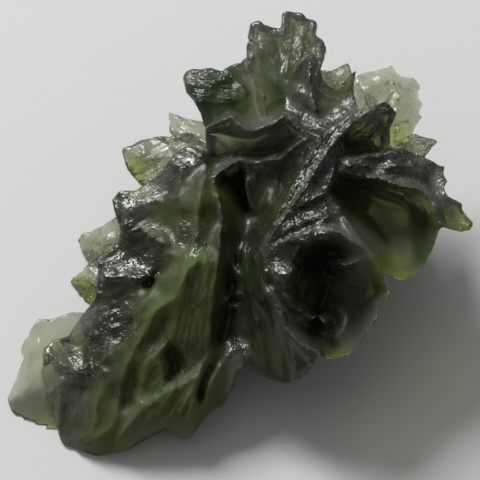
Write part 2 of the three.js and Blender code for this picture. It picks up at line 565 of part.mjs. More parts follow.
/** A solid for joining and cutting, from a closed three.js geometry. */
function solidFrom(geometry) {
  const bare = geometry.clone();
  bare.deleteAttribute('normal');
  bare.deleteAttribute('uv');
  const merged = mergeVertices(bare);
  const vertProperties = new Float32Array(merged.attributes.position.array);
  const triVerts = new Uint32Array(merged.index.array);
  return new wasm.Manifold(new wasm.Mesh({ numProp: 3, vertProperties, triVerts }));
}

/** A block of glass over an outline, with one skin as its front and one as its back. */
function slabBetween(rim, front, back) {
  const acrossValues = rim.map(([across]) => across);
  const upValues = rim.map(([, up]) => up);
  const left = Math.floor(Math.min(...acrossValues) / CELL);
  const bottom = Math.floor(Math.min(...upValues) / CELL);
  const columns = Math.ceil(Math.max(...acrossValues) / CELL) - left;
  const rows = Math.ceil(Math.max(...upValues) / CELL) - bottom;
  const slab = new THREE.BoxGeometry(columns * CELL, rows * CELL, 1, columns, rows, 1);
  slab.translate((left + columns / 2) * CELL, (bottom + rows / 2) * CELL, 0);
  const { position } = slab.attributes;
  for (let i = 0; i < position.count; i += 1) {
    const heights = position.getZ(i) > 0 ? front : back;
    position.setZ(i, heights[cellAt(position.getX(i), position.getY(i))]);
  }
  return solidFrom(slab.applyMatrix4(PLACE));
}

/** A straight-walled block under and over an outline, which trims a slab to its rim. */
function prismOver(rim) {
  const outline = new THREE.Shape(rim.map(([across, up]) => new THREE.Vector2(across, up)));
  const prism = new THREE.ExtrudeGeometry(outline, { depth: PRISM_DEPTH, bevelEnabled: false, steps: 1 });
  prism.translate(0, 0, PRISM_BOTTOM);
  return solidFrom(prism.applyMatrix4(PLACE));
}

/** The main mass: a deep relief in front, and an underside that hangs between keels. */
function bodySheet() {
  const rim = drawn(BODY_RIM);
  const frontLines = [...Object.values(FRONT_CRESTS), ...Object.values(FRONT_HOLLOWS)].map(drawn);
  const front = skin([...frontLines, closed(rim)], drawn(VALLEY_FLOORS), VALLEY_FALLBACK, FRONT_PULL);
  const backLines = [...Object.values(BACK_CRESTS), closed(lifted(rim, -RIM_THICKNESS))];
  const backFloors = [];
  for (let across = -BACK_FLOOR_REACH; across <= BACK_FLOOR_REACH; across += BACK_FLOOR_STEP) {
    for (let up = -BACK_FLOOR_REACH; up <= BACK_FLOOR_REACH; up += BACK_FLOOR_STEP) {
      backFloors.push([across, up, Math.max(BACK_DEPTH, groundLevel(up) + GROUND_CLEARANCE)]);
    }
  }
  const back = skin(backLines, backFloors, BACK_DEPTH, BACK_PULL);
  eachCell((across, up, cell) => {
    const wall = RIM_THICKNESS + Math.min(WALL_GROWTH * rimDistance(rim, across, up), WALL_LIMIT);
    back[cell] = Math.min(back[cell], front[cell] - wall);
  });
  return slabBetween(rim, front, back).intersect(prismOver(rim));
}

/** A petal: a thin sheet with its own rim and crests, thickest a little way in from the rim. */
function petalSheet(petal) {
  const rim = drawn(petal.rim);
  const floors = lifted(rim, -PETAL_DISH);
  const front = skin([...petal.crests.map(drawn), closed(rim)], floors, petal.floor, FRONT_PULL);
  const back = skin([closed(rim)], floors, petal.floor, PETAL_BACK_PULL);
  eachCell((across, up, cell) => {
    const swell = petal.belly * (1 - Math.exp(-rimDistance(rim, across, up) / BELLY_REACH));
    back[cell] = Math.min(back[cell], front[cell]) - RIM_THICKNESS - swell;
  });
  return slabBetween(rim, front, back).intersect(prismOver(rim));
}

/** The ground, as a block below height 0, which wears the lowest tips flat. */
function ground() {
  const block = new THREE.BoxGeometry(GROUND_WIDTH, GROUND_WIDTH, STONE_WIDTH);
  block.translate(0, 0, -STONE_WIDTH / 2);
  return solidFrom(block);
}

/** The outermost shell alone, so that no pocket stays sealed between two sheets. */
function outerShell(stone) {
  return stone.decompose().reduce((largest, shell) => (shell.volume() > largest.volume() ? shell : largest));
}

/** The whole stone as one closed geometry, standing on height 0 and centred over the origin. */
function stoneGeometry() {
  let stone = bodySheet();
  for (const petal of Object.values(PETALS)) {
    stone = stone.add(petalSheet(petal));
  }
  stone = outerShell(stone.subtract(ground()));
  const { vertProperties, triVerts } = stone.getMesh();
  const geometry = new THREE.BufferGeometry();
  geometry.setAttribute('position', new THREE.BufferAttribute(vertProperties, 3));
  geometry.setIndex(new THREE.BufferAttribute(triVerts, 1));
  geometry.computeBoundingBox();
  const centre = geometry.boundingBox.getCenter(new THREE.Vector3());
  geometry.translate(-centre.x, -centre.y, 0);
  geometry.computeVertexNormals();
  return geometry;
}

const glass = new THREE.MeshStandardMaterial({ color: 0x46552f, roughness: 0.2, metalness: 0 });

const moldavite = new THREE.Mesh(stoneGeometry(), glass);
moldavite.name = 'moldavite';

const root = new THREE.Group();
root.add(moldavite);

export default root;
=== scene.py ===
"""A hedgehog moldavite: one small piece of bottle-green natural glass, lying on a pale floor.

Soil acid has eaten the glass into scoops with sharp crests between them, and has left thin petals
around its edge. The stone is set out on a square grid over its broad face: a grid point is (across, up,
out), in grid squares, where out points from the face to whoever looks at it. The front is drawn ten times
finer: a drawn point is (across, down, out), across and down in steps from the drawing's top left corner,
and out in grid squares as before. Sheets of glass are stretched between the drawn crests, joined in a
block of cells, bitten by scoops and skinned as one mesh.
"""

import logging
import math
from dataclasses import dataclass, field
from enum import Enum

import bpy
import numpy as np
import openvdb
from mathutils import Matrix, Vector


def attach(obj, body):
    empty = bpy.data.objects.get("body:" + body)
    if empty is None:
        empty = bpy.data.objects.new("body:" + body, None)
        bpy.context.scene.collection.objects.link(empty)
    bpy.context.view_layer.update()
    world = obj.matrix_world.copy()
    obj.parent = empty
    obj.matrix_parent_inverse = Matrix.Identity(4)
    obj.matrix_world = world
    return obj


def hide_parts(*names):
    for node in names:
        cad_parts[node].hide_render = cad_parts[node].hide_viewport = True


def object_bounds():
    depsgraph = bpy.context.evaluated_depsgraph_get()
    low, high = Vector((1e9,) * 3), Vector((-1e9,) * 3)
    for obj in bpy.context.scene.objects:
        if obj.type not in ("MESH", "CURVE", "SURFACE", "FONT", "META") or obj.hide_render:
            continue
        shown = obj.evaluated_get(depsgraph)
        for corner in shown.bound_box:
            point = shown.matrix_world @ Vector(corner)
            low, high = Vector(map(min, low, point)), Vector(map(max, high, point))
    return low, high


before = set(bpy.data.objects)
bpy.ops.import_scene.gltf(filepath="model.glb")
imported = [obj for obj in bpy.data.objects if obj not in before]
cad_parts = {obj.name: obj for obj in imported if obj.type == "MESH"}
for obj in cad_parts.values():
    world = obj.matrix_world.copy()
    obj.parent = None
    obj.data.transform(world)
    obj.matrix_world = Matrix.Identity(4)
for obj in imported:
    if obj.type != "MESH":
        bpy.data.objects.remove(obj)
cad_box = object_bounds()
log = logging.getLogger("moldavite")

Point = tuple[float, float, float]
Line = list[Point]
Socket = bpy.types.NodeSocket
Value = Socket | float
Tint = Socket | tuple[float, float, float, float]
Input = Value | Tint | Point

# Driving sizes, in metres and degrees.
STONE_WIDTH = 0.040
SQUARES_ACROSS = 47
FACE_LEAN = math.radians(25)

# The drawing of the front: its fineness, and where the middle of the face lies on it, in steps.
STEPS_PER_SQUARE = 10
DRAWING_MIDDLE = 240

# The same sizes in grid squares. The origin of the grid is this high over the ground.
SQUARE = STONE_WIDTH / SQUARES_ACROSS
REST_HEIGHT = 12.8
LEAN_COS = math.cos(FACE_LEAN)
LEAN_SIN = math.sin(FACE_LEAN)

# A patch of the front counts in full near its middle, and fades this steeply to nothing at its radius.
PATCH_FADE = 1.6

# A direction is never divided by less than this.
LEAST_LENGTH = 1e-6

NODE = "moldavite"


@dataclass(frozen=True)
class Petal:
    """A thin sheet of glass that stands out of the stone's edge.

    rim is its drawn outline, crests its drawn ridges, floor how deep its front hangs between them, and
    belly how much thicker it is in the middle than at the rim.
    """

    rim: Line
    crests: list[Line]
    floor: float
    belly: float


@dataclass(frozen=True)
class Patch:
    """A round patch of the front with a finish of its own, in grid squares."""

    across: float
    up: float
    radius: float
    strength: float = 1.0


@dataclass(frozen=True)
class Streaks:
    """A round patch of the front where the glass is streaked along its flow, in grid squares.

    angle is the streaks' direction in degrees, from across towards up, and width their spacing.
    """

    across: float
    up: float
    radius: float
    angle: float
    width: float = 0.45
    strength: float = 1.0


# The outline of the main mass, as drawn points.
BODY_RIM: Line = [
    (205, 127, -1.5), (218, 117, -1.6), (228, 109, -1.9), (238, 112, -1.9), (250, 121, -1.4),
    (262, 118, -1.5), (276, 112, -1.6), (284, 106, -1.9), (296, 108, -1.6), (334, 106, -1.0),
    (350, 110, 0.0), (362, 108, 0.6), (385, 100, 0.2), (397, 112, -0.4), (393, 130, -0.4),
    (392, 148, 0.0), (425, 157, -0.4), (450, 166, -0.6), (445, 174, -0.2), (449, 181, -0.2),
    (445, 188, 0.2), (448, 196, 0.6), (462, 203, 0.4), (466, 212, 0.4), (474, 224, 0.6), (470, 231, 1.0),
    (460, 233, 1.4), (441, 227, 2.0), (437, 236, 2.6), (432, 250, 3.2), (424, 266, 4.0), (412, 277, 4.6),
    (402, 282, 4.8), (388, 277, 4.8), (381, 270, 4.8), (384, 281, 5.4), (392, 296, 5.0), (381, 302, 5.3),
    (379, 318, 5.5), (366, 333, 5.6), (359, 344, 5.6), (350, 354, 5.8), (335, 360, 5.8), (320, 357, 4.8),
    (313, 368, 3.4), (298, 382, 1.6), (283, 384, 0.8), (264, 377, 0.2), (247, 366, 0.2), (238, 372, -0.2),
    (233, 390, -0.6), (222, 408, -1.2), (210, 415, -1.5), (198, 427, -2.0), (190, 439, -2.4),
    (180, 440, -2.4), (165, 430, -2.0), (147, 440, -2.4), (126, 452, -2.8), (102, 456, -3.2),
    (94, 460, -4.2), (75, 452, -4.2), (61, 446, -4.4), (55, 431, -4.4), (52, 412, -4.0), (46, 400, -4.0),
    (41, 380, -4.0), (42, 350, -3.8), (47, 342, -3.8), (68, 336, -3.6), (79, 319, -3.4), (90, 303, -3.2),
    (95, 298, -3.0), (96, 275, -2.8), (95, 258, -3.0), (110, 249, -2.8), (118, 240, -2.8),
    (118, 225, -3.0), (111, 208, -3.2), (109, 198, -3.4), (117, 189, -3.4), (135, 190, -3.2),
    (150, 179, -3.2), (164, 167, -3.0), (172, 154, -3.0), (182, 146, -3.0), (193, 144, -3.0),
    (204, 150, -2.6),
]

# The sharp crests of the front, as drawn points.
FRONT_CRESTS: dict[str, Line] = dict(
    spine_left=[
        (256, 250, 3.4), (268, 230, 4.2), (284, 200, 4.2), (303, 165, 3.4), (322, 136, 2.2),
        (342, 121, 1.2), (360, 111, 0.8),
    ],
    spine_mid=[
        (262, 252, 3.8), (276, 228, 4.6), (292, 206, 5.0), (312, 176, 4.6), (328, 150, 3.4),
        (348, 128, 1.9), (385, 100, 0.4),
    ],
    spine_right=[(300, 208, 4.8), (325, 192, 4.4), (334, 172, 3.2), (332, 160, 2.7)],
    side_cup_rim=[
        (330, 160, 2.5), (352, 158, 1.8), (380, 154, 0.9), (400, 150, 0.4), (425, 157, -0.2),
        (446, 168, -0.6),
    ],
    side_cup_fold=[
        (340, 172, 2.2), (362, 177, 2.5), (381, 179, 2.4), (400, 186, 2.3), (418, 189, 2.0),
        (432, 200, 1.8), (441, 226, 2.0),
    ],
    side_cup_nick=[
        (346, 166, 2.3), (362, 165, 2.3), (378, 168, 1.1), (393, 167, 1.9), (408, 164, 0.7),
        (424, 172, 1.1),
    ],
    side_cup_left=[
        (325, 192, 4.4), (336, 204, 4.6), (346, 221, 5.0), (362, 243, 5.2), (374, 258, 5.2),
        (381, 269, 4.9),
    ],
    front_cup_outer=[(283, 222, 4.0), (300, 212, 4.1), (322, 208, 4.0), (345, 218, 4.4)],
    front_cup_top=[
        (262, 262, 4.2), (270, 250, 4.6), (281, 243, 5.0), (300, 241, 5.8), (320, 235, 6.2),
        (339, 232, 6.1), (352, 242, 5.8), (366, 250, 5.6), (384, 280, 5.5),
    ],
    front_cup_left=[
        (262, 252, 3.8), (263, 270, 4.2), (266, 290, 4.4), (278, 308, 4.4), (286, 328, 4.6),
        (300, 343, 5.0), (320, 352, 5.4),
    ],
    band_1=[(266, 242, 4.2), (288, 229, 4.9), (308, 220, 5.1), (330, 216, 4.9)],
    band_2=[(272, 247, 4.9), (292, 236, 5.5), (314, 228, 5.6), (336, 226, 5.5)],
    knob_a=[(269, 268, 5.0), (279, 274, 5.8), (289, 276, 6.2), (297, 268, 6.1)],
    knob_b=[(268, 284, 4.0), (279, 290, 4.3), (288, 298, 4.2), (291, 308, 3.6)],
    knob_c=[(334, 260, 4.4), (344, 266, 5.0), (355, 262, 5.0), (368, 256, 5.0)],
    knob_d=[(290, 302, 3.4), (300, 311, 3.9), (310, 309, 3.4)],
    knob_e=[(310, 320, 3.2), (318, 315, 3.8), (326, 324, 3.6)],
    upper_shelf=[
        (205, 127, -1.5), (216, 123, -0.6), (226, 119, 0.0), (233, 116, 0.0), (238, 124, 0.3),
        (246, 130, 0.4), (254, 132, 0.4), (264, 127, 0.5), (274, 124, 0.6), (282, 116, 0.2),
        (289, 117, 0.4), (294, 127, 1.0), (302, 129, 1.2), (318, 134, 1.8),
    ],
    lower_shelf=[
        (204, 162, -1.6), (208, 170, -0.8), (214, 180, 0.3), (219, 172, 0.4), (229, 166, 0.6),
        (241, 158, 0.9), (252, 161, 0.7), (278, 160, 1.0), (290, 150, 1.3), (303, 139, 1.5),
        (320, 134, 2.0),
    ],
    cave_right=[(241, 158, 0.9), (247, 170, 0.4), (248, 188, -0.2), (250, 205, -0.9), (256, 216, -1.4)],
    cave_left=[(214, 180, 0.3), (216, 195, 0.3), (218, 215, 0.0), (222, 228, -0.4)],
    trunk_left=[
        (207, 170, -0.4), (202, 186, 0.3), (199, 206, 0.8), (198, 228, 1.0), (194, 246, 1.1),
        (184, 262, 0.8), (170, 274, 0.4), (156, 284, 0.2), (146, 300, 0.1), (138, 316, 0.0),
        (128, 338, -0.3), (113, 360, -0.8), (103, 378, -1.1), (97, 400, -1.4), (95, 426, -1.8),
    ],
    trunk_right=[
        (214, 182, 0.5), (219, 200, 0.8), (221, 222, 1.0), (220, 244, 1.2), (218, 262, 1.3),
        (216, 280, 1.2), (213, 298, 1.1), (210, 326, 0.9), (208, 354, 0.6),
    ],
    strand_left=[
        (206, 252, 1.4), (208, 264, 1.5), (206, 280, 1.3), (201, 296, 1.0), (190, 300, 0.9),
        (180, 297, 1.4),
    ],
    branch_right=[
        (206, 252, 1.4), (194, 262, 1.6), (186, 274, 1.8), (182, 286, 1.6), (180, 297, 1.4),
        (168, 302, 1.2), (156, 311, 1.0), (145, 330, 0.7), (135, 350, 0.3), (126, 368, 0.0),
        (121, 386, -0.4), (119, 404, -0.8), (113, 426, -1.2), (96, 440, -2.0), (76, 451, -3.4),
    ],
    panel_edge=[
        (190, 300, 0.9), (185, 312, 0.7), (184, 330, 0.3), (183, 346, 0.0), (186, 360, -0.1),
        (197, 362, 0.2), (208, 354, 0.6), (216, 347, 0.5),
    ],
    leaf_right=[(180, 297, 1.4), (175, 318, 0.6), (172, 336, 0.3), (178, 352, 0.0), (186, 360, -0.1)],
    ridge_mid=[
        (172, 336, 0.3), (160, 352, 0.4), (149, 360, 0.5), (145, 376, 0.1), (139, 394, -0.4),
        (130, 412, -0.7), (120, 434, -1.4), (112, 454, -2.8),
    ],
    ridge_mid_right=[(149, 360, 0.5), (160, 362, 0.4), (164, 376, 0.2), (158, 397, -0.2)],
    leaf_low=[
        (216, 347, 0.5), (210, 354, 0.8), (203, 364, 0.8), (190, 380, 0.6), (174, 388, 0.5),
        (158, 397, 0.3), (142, 410, 0.0), (128, 426, -0.5), (116, 444, -1.8),
    ],
    low_ridge_2=[(203, 364, 0.8), (194, 392, 0.3), (180, 410, -0.1), (162, 424, -0.5), (147, 437, -1.6)],
    low_ridge_3=[(194, 392, 0.3), (196, 408, 0.0), (190, 420, -0.3), (184, 437, -1.6)],
    low_ridge_4=[(174, 388, 0.5), (162, 408, 0.1), (146, 422, -0.4), (132, 446, -2.0)],
    low_leaf=[(234, 348, 0.1), (222, 364, 0.2), (212, 380, 0.0), (205, 398, -0.4), (198, 424, -1.6)],
    hem_1=[(234, 330, -0.6), (241, 345, 0.1), (247, 364, 0.3)],
    hem_2=[(247, 285, 1.2), (250, 305, 1.0), (258, 325, 1.4), (263, 350, 1.3), (266, 374, 0.4)],
    hem_3=[(286, 328, 4.4), (292, 350, 3.2), (298, 380, 1.8)],
    hem_4=[(278, 320, 3.2), (279, 345, 2.0), (283, 380, 1.0)],
    fleck=[(250, 282, 1.3), (240, 291, 0.9), (228, 298, 0.6), (233, 308, 0.3)],
    column=[(221, 196, -0.4), (224, 212, 0.3), (226, 232, 0.3)],
    rib_1=[(222, 228, 0.2), (227, 245, -0.2), (232, 264, -0.3), (240, 276, 0.2), (250, 282, 1.3)],
    rib_2=[(256, 216, -1.4), (246, 232, -1.2), (239, 250, -1.2), (237, 268, -1.2)],
    rib_3=[(256, 250, 3.4), (250, 264, 2.0), (256, 280, 2.2), (262, 300, 2.8)],
    left_1=[
        (96, 275, -2.8), (104, 277, -1.8), (122, 277, -0.9), (142, 277, -0.3), (160, 277, 0.1),
        (171, 273, 0.4),
    ],
    left_2=[
        (97, 262, -2.6), (116, 262, -2.5), (136, 254, -2.1), (150, 248, -1.4), (166, 254, -0.2),
        (180, 256, 0.6),
    ],
    left_3=[(118, 240, -2.6), (131, 240, -1.8), (145, 233, -1.2), (160, 243, -0.7), (176, 246, 0.0)],
    left_4=[(117, 200, -3.0), (128, 212, -2.4), (140, 204, -2.0), (160, 199, -1.6), (180, 196, -0.8)],
    left_5=[(168, 162, -2.6), (176, 164, -1.6), (186, 166, -1.2), (197, 160, -1.4), (204, 152, -1.8)],
    left_6=[
        (180, 165, -1.2), (179, 185, -1.0), (181, 205, -0.6), (178, 226, -0.3), (177, 246, 0.0),
        (183, 258, 0.6),
    ],
    left_8=[(125, 212, -2.4), (124, 228, -2.2), (130, 240, -1.8)],
    silver_1=[
        (70, 338, -3.4), (85, 332, -2.6), (100, 327, -2.0), (120, 323, -1.2), (138, 310, -0.2),
        (145, 301, 0.1),
    ],
    silver_2=[
        (44, 352, -3.6), (54, 358, -2.8), (66, 368, -2.3), (82, 372, -1.9), (96, 366, -1.3),
        (108, 356, -0.9), (120, 348, -0.5),
    ],
    block_1=[(47, 397, -3.8), (60, 384, -3.0), (78, 374, -2.4), (95, 372, -1.6), (106, 372, -0.6)],
    block_2=[(60, 384, -3.0), (60, 405, -3.2), (58, 425, -3.8), (62, 444, -4.2)],
    block_3=[(97, 430, -2.0), (84, 438, -2.8), (66, 446, -4.0)],
    block_4=[(78, 374, -2.4), (80, 392, -3.2), (74, 412, -3.6), (78, 430, -3.6)],
)

# The bottoms of its narrow hollows, as drawn points.
FRONT_HOLLOWS: dict[str, Line] = dict(
    shelf=[
        (212, 156, -3.2), (228, 156, -3.0), (245, 152, -2.8), (262, 153, -2.6), (280, 150, -2.2),
        (292, 140, -1.2),
    ],
    cave=[(228, 178, -3.4), (238, 180, -5.0), (244, 194, -4.6), (250, 212, -3.8)],
    gap_1=[(230, 266, -1.2), (233, 290, -1.6), (229, 320, -1.6), (223, 340, -1.2)],
    gap_2=[(212, 366, -1.0), (203, 384, -1.6), (200, 400, -2.0)],
    gap_3=[(169, 350, -0.9), (175, 366, -1.5), (170, 380, -1.1)],
    gap_4=[(135, 368, -0.8), (130, 388, -1.2), (124, 410, -1.8)],
    leaf_1=[(167, 316, 0.2), (160, 330, -0.2), (155, 344, -0.3)],
    leaf_2=[(199, 271, 1.2), (192, 287, 0.9)],
    branch_edge=[(170, 262, -0.7), (158, 271, -1.3), (148, 284, -2.0)],
    branch_edge_2=[(130, 322, -1.4), (118, 338, -1.8)],
    panel=[(190, 308, 0.75), (190, 345, 0.15)],
    panel_2=[(200, 308, 0.85), (200, 345, 0.3)],
    front_cup_in=[(306, 264, -0.5), (322, 254, -1.2), (340, 254, 0.0)],
    front_cup_deep=[(318, 262, -2.5), (330, 285, -3.0), (318, 312, -2.5), (315, 330, -0.5)],
    side_cup_in=[(352, 182, -2.0), (380, 190, -4.5), (405, 200, -4.5), (420, 215, -2.0)],
    side_cup_deep=[(365, 210, -5.0), (385, 235, -4.0), (400, 258, -0.5)],
    band=[(270, 243, 4.3), (290, 232, 4.6), (311, 224, 4.7), (333, 221, 4.8)],
    fin_in=[(350, 142, -2.2), (368, 136, -3.0), (378, 148, -2.0)],
    block=[(66, 344, -3.9), (80, 346, -3.4), (92, 340, -2.8)],
)

# The keels of the underside, as grid points.
BACK_CRESTS: dict[str, Line] = dict(
    foot_right=[(1, 1, -12), (6, 3, -13), (10, 6, -17.6), (13, 8, -13), (17, 8, -5)],
    foot_front=[(1, 1, -12), (5, -4, -10), (9, -9, -10.6), (11, -12, -4)],
    foot_corner=[(1, 1, -12), (-2, -6, -9), (-6, -12, -8), (-11, -18.5, -6.0)],
    foot_left=[(1, 1, -12), (-5, -3, -11), (-10, -3, -12), (-14.5, -3.4, -12.9)],
    left_root=[(-5, -3, -11), (-9, 1, -11.5), (-13, 0.5, -11.5)],
    back_left=[(1, 1, -12), (-3, 6, -13), (-4, 8, -16), (-8, 11, -10)],
    top=[(1, 1, -12), (3, 9, -12), (5, 13, -11), (6, 14.5, -6)],
    right=[(1, 1, -12), (8, 0, -9), (14, -1, -9), (19, 0, -3)],
    top_right=[(10, 6, -17.6), (11, 10, -11), (13, 12, -7)],
    hem=[(-2, -6, -9), (2, -11, -7.5), (4, -13.5, -2.5)],
    corner=[(-6, -12, -8), (-13, -12, -8), (-18, -12, -6.0)],
    ring_a=[(5, -4, -10), (8, 0, -9), (6, 3, -13)],
    ring_b=[(-2, -6, -9), (-5, -3, -11), (-3, 6, -13), (3, 9, -12), (6, 3, -13)],
)

# How deep the front hangs between its crests, here and there, as drawn points.
VALLEY_FLOORS: Line = [
    (240, 145, -2.4), (280, 142, -1.8), (215, 148, -2.8), (262, 190, -2.0), (266, 215, -3.0),
    (235, 225, -1.6), (190, 180, -1.6), (190, 225, -0.9), (150, 220, -3.0), (130, 222, -3.6),
    (150, 262, -2.6), (128, 292, -2.8), (110, 300, -2.8), (150, 286, -1.0), (165, 235, -1.8),
    (122, 328, -1.2), (100, 345, -2.4), (60, 365, -4.6), (75, 400, -4.6), (80, 425, -4.8),
    (108, 408, -1.6), (108, 440, -2.4), (150, 330, -0.3), (195, 325, 0.2), (148, 404, -0.9),
    (160, 428, -1.5), (176, 412, -1.0), (215, 395, -1.6), (245, 330, -1.8), (272, 355, 0.0),
    (250, 300, -1.0), (320, 285, -3.0), (340, 310, -2.0), (345, 330, -0.5), (300, 325, 0.0),
    (375, 290, 0.0), (370, 205, -4.5), (400, 215, -4.5), (385, 250, -3.0), (420, 240, -2.5),
    (430, 180, -1.5), (455, 220, -0.4), (365, 140, -3.0), (410, 165, -0.6), (242, 245, -3.0),
    (208, 215, 0.8), (206, 240, 0.9), (190, 264, 1.2), (176, 284, 0.9), (164, 291, 0.7), (152, 302, 0.5),
    (138, 322, 0.2), (122, 345, -0.3), (108, 370, -0.8), (178, 340, -0.6), (135, 350, -0.4),
    (145, 375, -0.7), (140, 392, -1.0), (112, 390, -1.2), (172, 396, -0.4), (190, 402, -0.9),
    (226, 205, -0.9), (165, 180, -3.4), (285, 120, -1.8), (250, 118, -2.4), (278, 262, 5.0),
    (288, 264, 5.5), (276, 292, 4.0), (345, 259, 3.8), (358, 256, 4.4), (330, 122, -1.0), (305, 225, 4.0),
]

